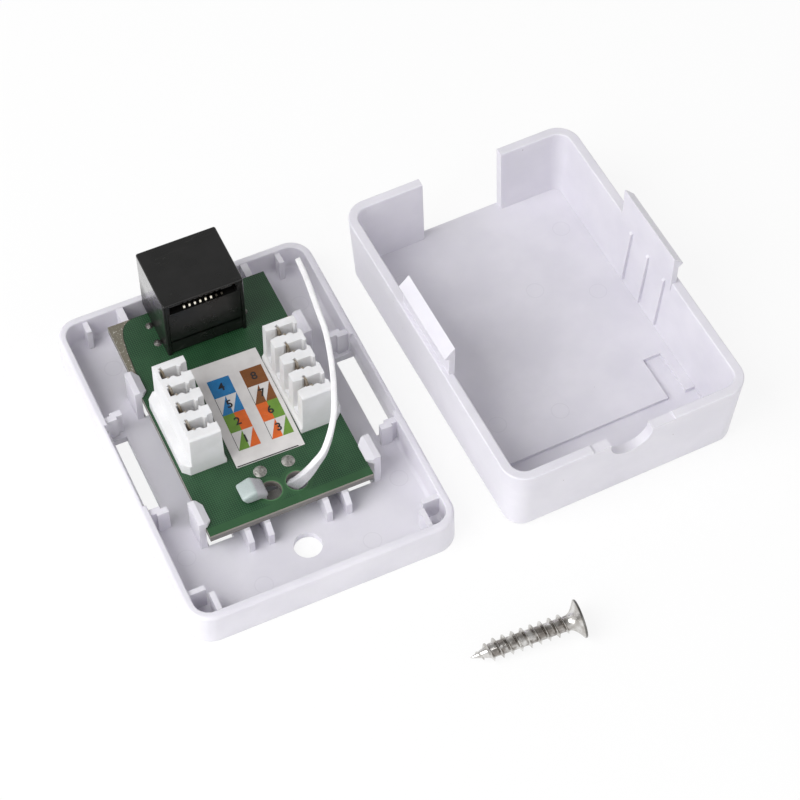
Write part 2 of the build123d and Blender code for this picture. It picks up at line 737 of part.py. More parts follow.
# Solder: cones round every tail and pin under the board, and four pads beside the jack
with BuildPart() as solder_joints:
    with BuildSketch(Plane.XY.offset(board_underside)):
        with Locations(*tail_places, *fork_places):
            Circle(solder_radius)
    solder_slope = degrees(atan((solder_radius - solder_tip_radius) / solder_height))
    extrude(amount=-solder_height, taper=solder_slope)
    with BuildSketch(Plane.XY.offset(board_underside)):
        with Locations(*tail_places):
            Circle(wire_thickness / 2 + 2 * fit_clearance)
        with Locations(*fork_places):
            Circle(fork_pin_width / 2 + fit_clearance)
    extrude(amount=-solder_height, mode=Mode.SUBTRACT)
    pad_dome_out, pad_dome_up = dome_point(pad_radius, pad_height)
    for side in (-1, 1):
        for pad_setback in pad_setbacks:
            pad_x = jack_centre_x + side * pad_offset_x
            pad_y = jack_rear_y + pad_setback
            with BuildSketch(Plane.XZ.offset(-pad_y)):
                with BuildLine():
                    Line((pad_x, board_top), (pad_x + pad_radius, board_top))
                    ThreePointArc(
                        (pad_x + pad_radius, board_top),
                        (pad_x + pad_dome_out, board_top + pad_dome_up),
                        (pad_x, board_top + pad_height),
                    )
                    Line((pad_x, board_top + pad_height), (pad_x, board_top))
                make_face()
            revolve(axis=Axis((pad_x, pad_y, 0), (0, 0, 1)))
solder_joints.part.label = "solder_joints"
export_step(solder_joints.part, "parts/solder_joints.step")

# Cable tie: head on the board, strap down one hole and up the other, and a long free tail
tie_head_x = tie_hole_left_x - tie_head_setback
tie_exit_z = board_top + tie_exit_height
tie_under_z = board_underside - tie_under_gap - tie_thickness / 2
tie_start_z = board_top + tie_start_rise
with BuildPart() as cable_tie:
    with BuildSketch(Plane.XY.offset(board_top)):
        with Locations((tie_head_x, tie_hole_y + tie_head_offset_y)):
            Rectangle(tie_head_length, tie_head_width)
    extrude(amount=tie_head_height)
    chamfer(cable_tie.edges().filter_by(Axis.Z), length=tie_head_chamfer)
    chamfer(cable_tie.faces().sort_by(Axis.Z)[-1].edges(), length=tie_head_top_chamfer)
    with BuildSketch(Plane.XZ.offset(-tie_hole_y)):
        with BuildLine():
            FilletPolyline(
                (tie_head_x + tie_head_length / 2 - tie_thickness / 2, tie_exit_z),
                (tie_hole_left_x, tie_exit_z),
                (tie_hole_left_x, tie_under_z),
                (tie_hole_right_x, tie_under_z),
                (tie_hole_right_x, tie_start_z),
                radius=tie_bend_radius,
            )
        trace(line_width=tie_thickness)
    extrude(amount=tie_width / 2, both=True)
    tie_start = Vector(tie_hole_right_x, tie_hole_y, tie_start_z)
    tie_points = [tie_start] + [tie_start + Vector(*point) for point in tie_tail]
    for i, point in enumerate(tie_points):
        before = tie_points[max(i - 1, 0)]
        after = tie_points[min(i + 1, len(tie_points) - 1)]
        along = (after - before).normalized() if i else Vector(0, 0, 1)
        turned = min(i / tie_turn_points, 1)
        across = Vector(0, 1, 0) * (1 - turned) + Vector(*tie_width_lean) * turned
        across = (across - along * across.dot(along)).normalized()
        strap_width = tie_tip_width if i == len(tie_points) - 1 else tie_width
        with BuildSketch(Plane(origin=point, x_dir=across, z_dir=along)):
            Rectangle(strap_width, tie_thickness)
    loft()
cable_tie.part.label = "cable_tie"
export_step(cable_tie.part, "parts/cable_tie.step")

# Wall screw: it lies on its thread and on the rim of its head
crest_places = [screw_first_crest + i * screw_pitch for i in range(screw_crest_count)]
screw_rest_length = screw_length - crest_places[screw_blunt_crest_count]
screw_tilt = atan((screw_head_diameter - screw_thread_diameter) / 2 / screw_rest_length)
screw_tip_z = screw_head_diameter / 2 * cos(screw_tilt) - screw_length * sin(screw_tilt)
screw_heading_radians = radians(screw_heading)
screw_along = Vector(
    cos(screw_heading_radians) * cos(screw_tilt),
    sin(screw_heading_radians) * cos(screw_tilt),
    sin(screw_tilt),
)
screw_side = Vector(sin(screw_heading_radians), -cos(screw_heading_radians), 0)
screw_plane = Plane(origin=(screw_tip_x, screw_tip_y, screw_tip_z), x_dir=screw_along, z_dir=screw_side)
thread_radius = screw_thread_diameter / 2
core_radius = screw_core_diameter / 2
screw_profile = [(0, 0)]
for crest_at in crest_places:
    fullness = min(crest_at / screw_point_length, 1)
    screw_profile.append((crest_at - screw_crest_half, core_radius * fullness))
    screw_profile.append((crest_at, thread_radius * fullness))
    screw_profile.append((crest_at + screw_crest_half, core_radius * fullness))
screw_profile.append((screw_length - screw_head_height, screw_neck_diameter / 2))
with BuildPart() as wall_screw:
    with BuildSketch(screw_plane):
        with BuildLine():
            Polyline(*screw_profile)
            ThreePointArc(
                (screw_length - screw_head_height, screw_neck_diameter / 2),
                (screw_length - screw_head_waist_height, screw_head_waist_diameter / 2),
                (screw_length - screw_head_rim, screw_head_diameter / 2),
            )
            Polyline(
                (screw_length - screw_head_rim, screw_head_diameter / 2),
                (screw_length, screw_head_diameter / 2),
                (screw_length, 0),
                (0, 0),
            )
        make_face()
    revolve(axis=Axis(screw_plane.origin, screw_along))
    head_at = screw_plane.origin + screw_along * screw_length
    head_plane = Plane(origin=head_at, x_dir=screw_side, z_dir=screw_along)
    with BuildSketch(head_plane):
        Rectangle(recess_width, recess_slot)
        Rectangle(recess_slot, recess_width)
    extrude(amount=-recess_depth, taper=recess_taper, mode=Mode.SUBTRACT)
wall_screw.part.label = "wall_screw"
export_step(wall_screw.part, "parts/wall_screw.step")

# Cover: one moulding, lying on its face with its rim and latch tabs up
cover_plane = Plane(
    origin=(cover_centre_x, cover_centre_y, 0),
    x_dir=(cos(radians(cover_turn)), sin(radians(cover_turn)), 0),
    z_dir=(0, 0, 1),
)
cover_slope = tan(radians(cover_draft))
cover_inset = cover_height * cover_slope
cavity_inset = (cover_height - cover_floor) * cover_slope
pad_top = cover_height - (board_top + jack_height - tray_height)
pad_inset = (cover_height - pad_top) * cover_slope
jack_notch_half = jack_width / 2 + jack_notch_clearance
tab_height = tray_height - tab_end_clearance
tab_catch_z = cover_height + tray_height - latch_ledge_z + latch_catch_clearance
tab_outer_u = latch_nose_x - latch_running_clearance
with BuildPart() as cover_shell:
    with BuildSketch(cover_plane):
        RectangleRounded(cover_width - 2 * cover_inset, cover_length - 2 * cover_inset,
                         cover_corner_radius - cover_inset)
    extrude(amount=cover_height, taper=-cover_draft)
    fillet(cover_shell.faces().sort_by(Axis.Z)[0].edges(), radius=cover_edge_round)
    with BuildSketch(cover_plane.offset(pad_top)):
        RectangleRounded(cover_width - 2 * (cover_wall + pad_inset),
                         cover_length - 2 * (cover_wall + pad_inset),
                         cover_corner_radius - cover_wall - pad_inset)
    extrude(amount=cover_height - pad_top, taper=-cover_draft, mode=Mode.SUBTRACT)
    rim_face = cover_shell.faces().filter_by(Plane.XY).sort_by(Axis.Z)[-1]
    fillet(rim_face.edges(), radius=cover_rim_round)
    cavity_half_length = cover_length / 2 - cover_wall - cavity_inset
    cavity_half_width = cover_width / 2 - cover_wall - cavity_inset
    with BuildSketch(cover_plane.offset(cover_floor)):
        with Locations((0, (pad_near_v - cavity_half_length) / 2)):
            Rectangle(2 * cavity_half_width, pad_near_v + cavity_half_length)
        with Locations((cavity_half_width - pad_pocket_gap - pad_pocket_width / 2, pad_pocket_v)):
            Rectangle(pad_pocket_width, pad_pocket_length)
    extrude(amount=pad_top - cover_floor, mode=Mode.SUBTRACT)

    # Notch for the jack in the far wall and for the cable in the near wall
    with BuildSketch(cover_plane.offset(pad_top)):
        with Locations((-jack_centre_x, cover_length / 2 - cover_wall)):
            Rectangle(2 * jack_notch_half, notch_cut_length)
    extrude(amount=cover_height - pad_top, mode=Mode.SUBTRACT)
    near_wall_plane = Plane(
        origin=cover_plane.from_local_coords((0, -cover_length / 2, 0)),
        x_dir=cover_plane.x_dir,
        z_dir=-cover_plane.y_dir,
    )
    with BuildSketch(near_wall_plane):
        cable_radius = cable_notch_width / 2
        with Locations((cable_notch_u, cover_height - cable_notch_depth + cable_radius)):
            Circle(cable_radius)
        with Locations((cable_notch_u, cover_height - (cable_notch_depth - cable_radius) / 2)):
            Rectangle(cable_notch_width, cable_notch_depth - cable_radius)
        with Locations((0, cover_height - cable_notch_step / 2)):
            Rectangle(cable_notch_step_width, cable_notch_step)
    extrude(amount=notch_cut_length / 2, both=True, mode=Mode.SUBTRACT)

    # Small gussets stiffen the side walls beside the latch tabs
    gusset_high_z = cover_height - gusset_drop
    for gusset_v in gusset_places_v:
        gusset_plane = Plane(
            origin=cover_plane.from_local_coords((0, gusset_v, 0)),
            x_dir=cover_plane.x_dir,
            z_dir=-cover_plane.y_dir,
        )
        with BuildSketch(gusset_plane):
            for side in (-1, 1):
                low_u = cover_width / 2 - cover_wall - (cover_height - gusset_low_z) * cover_slope
                high_u = cover_width / 2 - cover_wall - gusset_drop * cover_slope
                with BuildLine():
                    Polyline(
                        (side * (low_u + gusset_root), gusset_low_z),
                        (side * (low_u - gusset_reach), gusset_low_z),
                        (side * (high_u - gusset_reach), gusset_high_z - gusset_reach),
                        (side * high_u, gusset_high_z),
                        (side * (high_u + gusset_root), gusset_high_z),
                        close=True,
                    )
                make_face()
        extrude(amount=gusset_thickness / 2, both=True)

    # Latch tabs with an outward hook that snaps under the tray's ledge
    tab_plane = Plane(
        origin=cover_plane.from_local_coords((0, latch_centre_y, 0)),
        x_dir=cover_plane.x_dir,
        z_dir=-cover_plane.y_dir,
    )
    with BuildSketch(tab_plane):
        for side in (-1, 1):
            with BuildLine():
                Polyline(
                    (side * tab_outer_u, cover_height - tab_root),
                    (side * tab_outer_u, tab_catch_z),
                    (side * (tab_outer_u + tab_hook_reach), tab_catch_z + tab_hook_rise),
                    (side * (tab_outer_u - tab_thickness + tab_tip_flat), cover_height + tab_height),
                    (side * (tab_outer_u - tab_thickness), cover_height + tab_height),
                    (side * (tab_outer_u - tab_thickness), cover_height),
                    (side * (tab_outer_u - tab_thickness), cover_height - tab_root),
                    close=True,
                )
            make_face()
    extrude(amount=latch_slot_length / 2 - latch_end_clearance, both=True)
cover_shell.part.label = "cover_shell"
export_step(cover_shell.part, "parts/cover_shell.step")
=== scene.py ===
import math
import bmesh
import bpy
from mathutils import Matrix, Vector


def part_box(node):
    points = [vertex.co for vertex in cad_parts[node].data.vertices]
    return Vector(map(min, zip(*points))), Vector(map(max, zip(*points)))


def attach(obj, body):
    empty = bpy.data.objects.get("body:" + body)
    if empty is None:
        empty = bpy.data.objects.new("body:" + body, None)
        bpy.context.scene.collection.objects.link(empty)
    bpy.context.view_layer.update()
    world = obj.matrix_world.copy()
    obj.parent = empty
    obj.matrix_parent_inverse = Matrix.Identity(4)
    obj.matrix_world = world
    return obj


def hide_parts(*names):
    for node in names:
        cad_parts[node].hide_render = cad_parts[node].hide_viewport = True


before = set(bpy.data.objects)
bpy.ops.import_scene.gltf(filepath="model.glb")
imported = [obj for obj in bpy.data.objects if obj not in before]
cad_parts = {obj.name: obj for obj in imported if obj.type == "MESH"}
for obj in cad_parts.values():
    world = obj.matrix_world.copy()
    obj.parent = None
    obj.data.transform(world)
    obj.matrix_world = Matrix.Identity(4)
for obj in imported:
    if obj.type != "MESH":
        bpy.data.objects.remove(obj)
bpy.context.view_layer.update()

# Studio: a white table top under daylight that is weaker overhead than at the horizon, with a lamp
# high on the left, a weak one in front and a low one on the left for the outer walls. The camera
# looks down on the opened box from its near left side, through a long lens.
mm = 0.001
camera_place = Vector((-78.884, -233.183, 366.987)) * mm
camera_aim = Vector((0.238598, 0.516825, -0.822170)).normalized()
camera_roll = math.radians(-0.06)
camera_lens = 111.41
table_half_width = 2.0
daylight = 0.72
zenith_share = 0.42
key_lamp_place = Vector((-430, -90, 500)) * mm
key_lamp_size = 0.5
key_lamp_power = 3.6
fill_lamp_place = Vector((260, -420, 380)) * mm
fill_lamp_size = 0.6
fill_lamp_power = 0.6
side_lamp_place = Vector((-540, -170, 95)) * mm
side_lamp_size = 0.3
side_lamp_power = 0.45
stage_centre = Vector((20, -8, 5)) * mm
sky_fall_from = 0.25
sky_fall_to = 0.9
table_grey = 0.93
glow_amount = 0.86


def srgb(red, green, blue):
    """A display colour, 0 to 255, as the linear colour that a shader takes."""
    shares = [value / 255 for value in (red, green, blue)]
    return [s / 12.92 if s < 0.04045 else ((s + 0.055) / 1.055) ** 2.4 for s in shares] + [1.0]


def put(tree, kind, sockets=None, **settings):
    """A new node. sockets holds values, or the outputs that feed its inputs."""
    node = tree.nodes.new(kind)
    for name, value in settings.items():
        setattr(node, name, value)
    for name, value in (sockets or {}).items():
        if isinstance(value, bpy.types.NodeSocket):
            tree.links.new(value, node.inputs[name])
        else:
            node.inputs[name].default_value = value
    return node


def calc(tree, operation, *values):
    """The output of a Math node that works on numbers or on other outputs."""
    return put(tree, "ShaderNodeMath", dict(enumerate(values)), operation=operation).outputs[0]


def new_finish(name):
    """An empty material: the material, its node tree and its output node."""
    material = bpy.data.materials.new(name)
    material.use_nodes = True
    material.node_tree.nodes.clear()
    return material, material.node_tree, put(material.node_tree, "ShaderNodeOutputMaterial")


def shown_to_camera_and_gloss(tree):
    """1 for rays from the camera, from a gloss or through glass, otherwise 0."""
    rays = put(tree, "ShaderNodeLightPath")
    straight = calc(tree, "MAXIMUM", rays.outputs["Is Camera Ray"], rays.outputs["Is Glossy Ray"])
    return calc(tree, "MAXIMUM", straight, rays.outputs["Is Transmission Ray"])


right = camera_aim.cross(Vector((0, 0, 1))).normalized()
up = right.cross(camera_aim)
turned_right = right * math.cos(camera_roll) + up * math.sin(camera_roll)
turned_up = up * math.cos(camera_roll) - right * math.sin(camera_roll)
camera = bpy.data.objects.new("camera", bpy.data.cameras.new("camera"))
camera.data.lens = camera_lens
camera.data.clip_start = 0.02
camera.data.clip_end = 20.0
camera.matrix_world = Matrix.Translation(camera_place) @ Matrix(
    (turned_right, turned_up, -camera_aim)).transposed().to_4x4()
bpy.context.scene.collection.objects.link(camera)
bpy.context.scene.camera = camera

for name, place, size, power in (
    ("key_lamp", key_lamp_place, key_lamp_size, key_lamp_power),
    ("fill_lamp", fill_lamp_place, fill_lamp_size, fill_lamp_power),
    ("side_lamp", side_lamp_place, side_lamp_size, side_lamp_power),
):
    lamp = bpy.data.objects.new(name, bpy.data.lights.new(name, "AREA"))
    lamp.data.size = size
    lamp.data.energy = power
    lamp.location = place
    lamp.rotation_euler = (stage_centre - place).to_track_quat("-Z", "Y").to_euler()
    bpy.context.scene.collection.objects.link(lamp)

world = bpy.data.worlds.new("daylight")
world.use_nodes = True
world.node_tree.nodes.clear()
sky_direction = put(world.node_tree, "ShaderNodeTexCoord").outputs["Generated"]
sky_height = put(world.node_tree, "ShaderNodeSeparateXYZ", {0: sky_direction}).outputs[2]
sky_fall = put(world.node_tree, "ShaderNodeMapRange", {
    "Value": sky_height, "From Min": sky_fall_from, "From Max": sky_fall_to,
    "To Min": 1.0, "To Max": zenith_share}).outputs[0]
sky_light = calc(world.node_tree, "MULTIPLY", sky_fall, daylight)
sky = put(world.node_tree, "ShaderNodeBackground", {"Color": (1, 1, 1, 1), "Strength": sky_light})
backdrop = put(world.node_tree, "ShaderNodeBackground",
               {"Color": (1, 1, 1, 1), "Strength": sky_fall})
sky_shown = shown_to_camera_and_gloss(world.node_tree)
sky_mix = put(world.node_tree, "ShaderNodeMixShader",
              {0: sky_shown, 1: sky.outputs[0], 2: backdrop.outputs[0]})
put(world.node_tree, "ShaderNodeOutputWorld", {"Surface": sky_mix.outputs[0]})
bpy.context.scene.world = world
bpy.context.scene.view_settings.view_transform = "Standard"

table_finish, tree, output = new_finish("white_table")
table_paper = put(tree, "ShaderNodeBsdfDiffuse",
                  {"Color": (table_grey, table_grey, table_grey, 1)})
table_glow = put(tree, "ShaderNodeEmission", {"Color": (1, 1, 1, 1), "Strength": 1.0})
glow_share = calc(tree, "MULTIPLY", shown_to_camera_and_gloss(tree), glow_amount)
table_mix = put(tree, "ShaderNodeMixShader",
                {0: glow_share, 1: table_paper.outputs[0], 2: table_glow.outputs[0]})
tree.links.new(table_mix.outputs[0], output.inputs["Surface"])
table_mesh = bpy.data.meshes.new("table_top")
table_mesh.from_pydata(
    [(x * table_half_width, y * table_half_width, 0)
     for x, y in ((-1, -1), (1, -1), (1, 1), (-1, 1))],
    [], [(0, 1, 2, 3)])
table_mesh.materials.append(table_finish)
table = bpy.data.objects.new("table_top", table_mesh)
bpy.context.scene.collection.objects.link(table)

bpy.context.scene.view_layers[0].update()

# Tray and cover: two injection mouldings in lilac-white ABS, with a fine satin skin, faint rings
# where the ejector pins pressed, and a few stray scuffs and specks of dust from handling.
abs_colour = srgb(226, 224, 231)
abs_shade_colour = srgb(218, 216, 224)
abs_roughness = 0.36
dust_colour = srgb(118, 108, 104)
ring_shade_colour = srgb(150, 146, 160)
tray_pins = ((-17.02, 24.7), (19.5, 24.0), (-10.0, -28.5), (10.5, -28.2), (-20.0, -18.0),
             (20.0, -18.5))
cover_pins = ((38.5, 20.0), (71.0, 19.0), (40.5, -16.0), (60.0, 8.0), (52.0, -18.0), (70.5, 3.0))
pin_radius = 1.6


def start_group(name, inputs, outputs):
    """An empty shader node group with those sockets: the group, its input and its output node."""
    group = bpy.data.node_groups.new(name, "ShaderNodeTree")
    for label, kind, value in inputs:
        group.interface.new_socket(label, in_out="INPUT", socket_type=kind).default_value = value
    for label, kind in outputs:
        group.interface.new_socket(label, in_out="OUTPUT", socket_type=kind)
    return group, group.nodes.new("NodeGroupInput"), group.nodes.new("NodeGroupOutput")


def place_in_mm(tree):
    """The point on the piece, in millimetres of the shared frame."""
    coordinate = put(tree, "ShaderNodeTexCoord")
    return put(tree, "ShaderNodeVectorMath", {0: coordinate.outputs["Object"], "Scale": 1 / mm},
               operation="SCALE").outputs[0]


def xyz_in_mm(tree):
    """The three coordinates of that point, as outputs."""
    return put(tree, "ShaderNodeSeparateXYZ", {0: place_in_mm(tree)}).outputs


def noise(tree, place, size, detail=3.0, roughness=0.5):
    """Cloudy noise with lumps of that size in millimetres, 0 to 1."""
    scale = calc(tree, "DIVIDE", 1.0, size)
    return put(tree, "ShaderNodeTexNoise", {
        "Vector": place, "Scale": scale, "Detail": detail, "Roughness": roughness}).outputs["Fac"]


def fade(tree, value, low, high, to_low=0.0, to_high=1.0):
    """value from low to high becomes to_low to to_high, with smooth ends."""
    return put(tree, "ShaderNodeMapRange", {
        "Value": value, "From Min": low, "From Max": high, "To Min": to_low, "To Max": to_high},
        interpolation_type="SMOOTHSTEP").outputs[0]


def tint(tree, amount, first, second):
    """Two colours mixed by amount, 0 to 1."""
    return put(tree, "ShaderNodeMix", {0: amount, 6: first, 7: second},
               data_type="RGBA").outputs[2]


# Mottled tone, fine skin and stray marks of a moulded or cast surface
surface_life, entry, exit_node = start_group(
    "surface_life",
    [("Cloud Size", "NodeSocketFloat", 9.0), ("Grain Size", "NodeSocketFloat", 0.12)],
    [("Cloud", "NodeSocketFloat"), ("Grain", "NodeSocketFloat"), ("Scuffs", "NodeSocketFloat"),
     ("Specks", "NodeSocketFloat")])
place = place_in_mm(surface_life)
cloud = noise(surface_life, place, entry.outputs["Cloud Size"], 4.0, 0.55)
grain = noise(surface_life, place, entry.outputs["Grain Size"], 2.0, 0.6)
long_way = put(surface_life, "ShaderNodeMapping",
               {"Vector": place, "Rotation": (0.3, 0.1, 0.7), "Scale": (0.16, 2.4, 0.9)})
scuff_line = calc(surface_life, "ABSOLUTE", calc(
    surface_life, "SUBTRACT", noise(surface_life, long_way.outputs[0], 3.2, 2.0), 0.5))
scuff_area = fade(surface_life, noise(surface_life, place, 14.0, 1.0), 0.56, 0.64)
scuff_stroke = fade(surface_life, scuff_line, 0.0, 0.006, 1.0, 0.0)
scuffs = calc(surface_life, "MULTIPLY", scuff_stroke, scuff_area)
cells = put(surface_life, "ShaderNodeTexVoronoi",
            {"Vector": place, "Scale": 0.28, "Randomness": 1.0})
speck_pick = fade(surface_life, put(surface_life, "ShaderNodeSeparateColor",
                                    {0: cells.outputs["Color"]}).outputs[0], 0.72, 0.74)
speck_spot = fade(surface_life, cells.outputs["Distance"], 0.02, 0.045, 1.0, 0.0)
specks = calc(surface_life, "MULTIPLY", speck_spot, speck_pick)
for label, value in (("Cloud", cloud), ("Grain", grain), ("Scuffs", scuffs), ("Specks", specks)):
    surface_life.links.new(value, exit_node.inputs[label])


def surface_marks(tree, cloud_size, grain_size):
    """A surface_life group with clouds and grains of those sizes in millimetres."""
    return put(tree, "ShaderNodeGroup", {"Cloud Size": cloud_size, "Grain Size": grain_size},
               node_tree=surface_life)


def moulded_abs(name, pins):
    """The ABS of one moulding, with an ejector ring at each of the pins, (x, y) in millimetres."""
    material, tree, output = new_finish(name)
    life = surface_marks(tree, 11.0, 0.16)
    colour = tint(tree, fade(tree, life.outputs["Cloud"], 0.3, 0.7), abs_shade_colour, abs_colour)
    dust = calc(tree, "MULTIPLY", life.outputs["Specks"], 0.55)
    colour = tint(tree, dust, colour, dust_colour)
    x, y = xyz_in_mm(tree)[:2]
    rings = 0.0
    for pin_x, pin_y in pins:
        away = calc(tree, "POWER", calc(tree, "ADD",
                    calc(tree, "POWER", calc(tree, "SUBTRACT", x, pin_x), 2.0),
                    calc(tree, "POWER", calc(tree, "SUBTRACT", y, pin_y), 2.0)), 0.5)
        off_ring = calc(tree, "ABSOLUTE", calc(tree, "SUBTRACT", away, pin_radius))
        rings = calc(tree, "MAXIMUM", rings, fade(tree, off_ring, 0.03, 0.14, 1.0, 0.0))
    colour = tint(tree, calc(tree, "MULTIPLY", rings, 0.10), colour, ring_shade_colour)
    height = calc(tree, "SUBTRACT", calc(tree, "MULTIPLY", life.outputs["Grain"], 0.5),
                  calc(tree, "ADD", calc(tree, "MULTIPLY", rings, 0.7), life.outputs["Scuffs"]))
    skin = put(tree, "ShaderNodeBump", {"Height": height, "Strength": 0.25, "Distance": 0.00004})
    rough = fade(tree, life.outputs["Cloud"], 0.2, 0.8, abs_roughness - 0.05, abs_roughness + 0.07)
    rough = calc(tree, "ADD", rough, calc(tree, "MULTIPLY", life.outputs["Scuffs"], 0.12))
    shader = put(tree, "ShaderNodeBsdfPrincipled",
                 {"Base Color": colour, "Roughness": rough, "Normal": skin.outputs[0],
                  "IOR": 1.5, "Subsurface Weight": 0.12,
                  "Subsurface Radius": (0.0016, 0.0014, 0.0018), "Subsurface Scale": 1.0})
    tree.links.new(shader.outputs[0], output.inputs["Surface"])
    return material


def dress(material, *node_names):
    """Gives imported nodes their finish."""
    for node_name in node_names:
        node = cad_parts[node_name]
        node.data.materials.clear()
        node.data.materials.append(material)


dress(moulded_abs("tray_abs", tray_pins), "base_tray")
dress(moulded_abs("cover_abs", cover_pins), "cover_shell")

# Circuit board: woven glass and epoxy under a green solder mask. The sawn edges are bare and a
# dull tan, darkened on their lower part by painted shadow.
mask_colour = srgb(45, 92, 57)
mask_dark_colour = srgb(12, 42, 24)
mask_plain_colour = srgb(40, 80, 47)
hole_edge_highlight_colour = srgb(84, 128, 86)
mask_light_colour = srgb(56, 100, 64)
mask_lip_colour = srgb(20, 34, 22)
weave_pitch = 0.40
board_edge_colour = srgb(158, 152, 142)
board_edge_dark_colour = srgb(144, 136, 127)
board_edge_shadow_colour = srgb(118, 115, 111)
bare_glass_colour = srgb(128, 122, 108)
bare_glass_dark_colour = srgb(96, 92, 80)
glass_glint_colour = srgb(196, 194, 188)
board_low, board_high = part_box("circuit_board")
board_left = board_low.x / mm
board_near = board_low.y / mm
board_far = board_high.y / mm
plain_edge_width = 1.7
hole_places = ((-2.7, -15.1), (2.2, -15.1))
hole_radius = 1.95
edge_shade_z = 7.1
# Width of the bare glass at the far left corner, in millimetres: at a distance d from the far edge
# it is bare_least + bare_gain * (d + bare_shift) ** bare_power, down to bare_length
bare_least = 0.3
bare_gain = 3.6
bare_shift = 0.75
bare_power = -0.6
bare_length = 13.6


def flattened(tree, place):
    """The point with its height dropped."""
    return put(tree, "ShaderNodeVectorMath", {0: place, 1: (1, 1, 0)},
               operation="MULTIPLY").outputs[0]


board_finish, tree, output = new_finish("solder_mask_on_glass")
life = surface_marks(tree, 7.0, 0.25)
place = place_in_mm(tree)
wander = put(tree, "ShaderNodeTexNoise", {"Vector": place, "Scale": 0.9, "Detail": 1.0})
wander_shift = put(tree, "ShaderNodeVectorMath", {0: wander.outputs["Color"], "Scale": 0.12},
                   operation="SCALE")
place_wandered = put(tree, "ShaderNodeVectorMath", {0: place, 1: wander_shift.outputs[0]},
                     operation="ADD")
board_xyz = put(tree, "ShaderNodeSeparateXYZ", {0: place_wandered.outputs[0]})
thread_wave = math.pi / weave_pitch
warp = calc(tree, "SINE", calc(tree, "MULTIPLY", board_xyz.outputs[0], thread_wave))
weft = calc(tree, "SINE", calc(tree, "MULTIPLY", board_xyz.outputs[1], thread_wave))
weave = fade(tree, calc(tree, "ABSOLUTE", calc(tree, "MULTIPLY", warp, weft)), 0.15, 0.75)
from_near = calc(tree, "SUBTRACT", board_xyz.outputs[1], board_near)
plain = fade(tree, from_near, plain_edge_width - 0.3, plain_edge_width + 0.3, 1.0, 0.0)
hole_edge_highlight = 0.0
for hole_x, hole_y in hole_places:
    off_hole = put(tree, "ShaderNodeVectorMath",
                   {0: flattened(tree, place), 1: (hole_x, hole_y, 0)},
                   operation="DISTANCE").outputs["Value"]
    off_edge = calc(tree, "SUBTRACT", off_hole, hole_radius)
    plain = calc(tree, "MAXIMUM", plain, fade(tree, off_edge, 0.7, 1.1, 1.0, 0.0))
    # Painted highlight: a thin light ring along the edge of each hole
    hole_edge_highlight = calc(tree, "MAXIMUM", hole_edge_highlight, fade(tree, off_edge, 0.12, 0.24, 1.0, 0.0))
green = tint(tree, calc(tree, "MULTIPLY", weave, 0.9), mask_dark_colour, mask_colour)
green = tint(tree, plain, green, mask_plain_colour)
pale_cloud = fade(tree, life.outputs["Cloud"], 0.35, 0.75, 0.0, 0.3)
green = tint(tree, pale_cloud, green, mask_light_colour)
# The painted highlight is laid over the mask around the holes
green = tint(tree, calc(tree, "MULTIPLY", hole_edge_highlight, 0.7), green, hole_edge_highlight_colour)

# At the far left corner the mask stops short, in a curve, and leaves the rough glass bare
from_left = calc(tree, "SUBTRACT", board_xyz.outputs[0], board_left)
from_far = calc(tree, "SUBTRACT", board_far, board_xyz.outputs[1])
curve_start = calc(tree, "MAXIMUM", calc(tree, "ADD", from_far, bare_shift), 0.05)
curve = calc(tree, "ADD", bare_least, calc(
    tree, "MULTIPLY", bare_gain, calc(tree, "POWER", curve_start, bare_power)))
inside_curve = calc(tree, "SUBTRACT", curve, from_left)
near_end = fade(tree, from_far, bare_length - 0.6, bare_length + 0.6, 1.0, 0.0)
bare = calc(tree, "MULTIPLY", fade(tree, inside_curve, 0.0, 0.08), near_end)
off_curve = calc(tree, "ABSOLUTE", inside_curve)
mask_lip = calc(tree, "MULTIPLY", fade(tree, off_curve, 0.02, 0.16, 1.0, 0.0), near_end)
glass_tone = tint(tree, noise(tree, place, 0.5, 4.0, 0.7),
                  bare_glass_dark_colour, bare_glass_colour)
glass_glint = fade(tree, noise(tree, place, 0.3, 2.0), 0.62, 0.7)
glass_tone = tint(tree, glass_glint, glass_tone, glass_glint_colour)
green = tint(tree, bare, green, glass_tone)
green = tint(tree, calc(tree, "MULTIPLY", mask_lip, 0.8), green, mask_lip_colour)
surface_way = put(tree, "ShaderNodeNewGeometry").outputs["True Normal"]
facing = put(tree, "ShaderNodeSeparateXYZ", {0: surface_way})
sawn = fade(tree, calc(tree, "ABSOLUTE", facing.outputs[2]), 0.4, 0.6, 1.0, 0.0)
edge_tone = tint(tree, noise(tree, place, 0.35, 3.0), board_edge_dark_colour, board_edge_colour)
# Painted shadow: the sawn edge is darkened below edge_shade_z
edge_shadow = fade(tree, put(tree, "ShaderNodeSeparateXYZ", {0: place}).outputs[2],
                edge_shade_z - 0.1, edge_shade_z + 0.1, 1.0, 0.0)
edge_tone = tint(tree, edge_shadow, edge_tone, board_edge_shadow_colour)
board_colour = tint(tree, sawn, green, edge_tone)
board_height = calc(tree, "ADD", weave, calc(tree, "MULTIPLY", life.outputs["Grain"], 0.4))
board_bump = put(tree, "ShaderNodeBump",
                 {"Height": board_height, "Strength": 0.3, "Distance": 0.00003})
board_shader = put(tree, "ShaderNodeBsdfPrincipled",
                   {"Base Color": board_colour, "Normal": board_bump.outputs[0], "IOR": 1.5,
                    "Roughness": fade(tree, life.outputs["Cloud"], 0.2, 0.8, 0.34, 0.46)})
tree.links.new(board_shader.outputs[0], output.inputs["Surface"])
dress(board_finish, "circuit_board")

# Solder: tin, lumpy where it froze, in cones under the board, in the pads beside the jack and in
# the two bright eyelets. Towards the jack its colour is darkened as painted shade.
solder_colour = srgb(196, 194, 190)
solder_dark_colour = srgb(120, 118, 114)
solder_shade_colour = srgb(66, 63, 62)

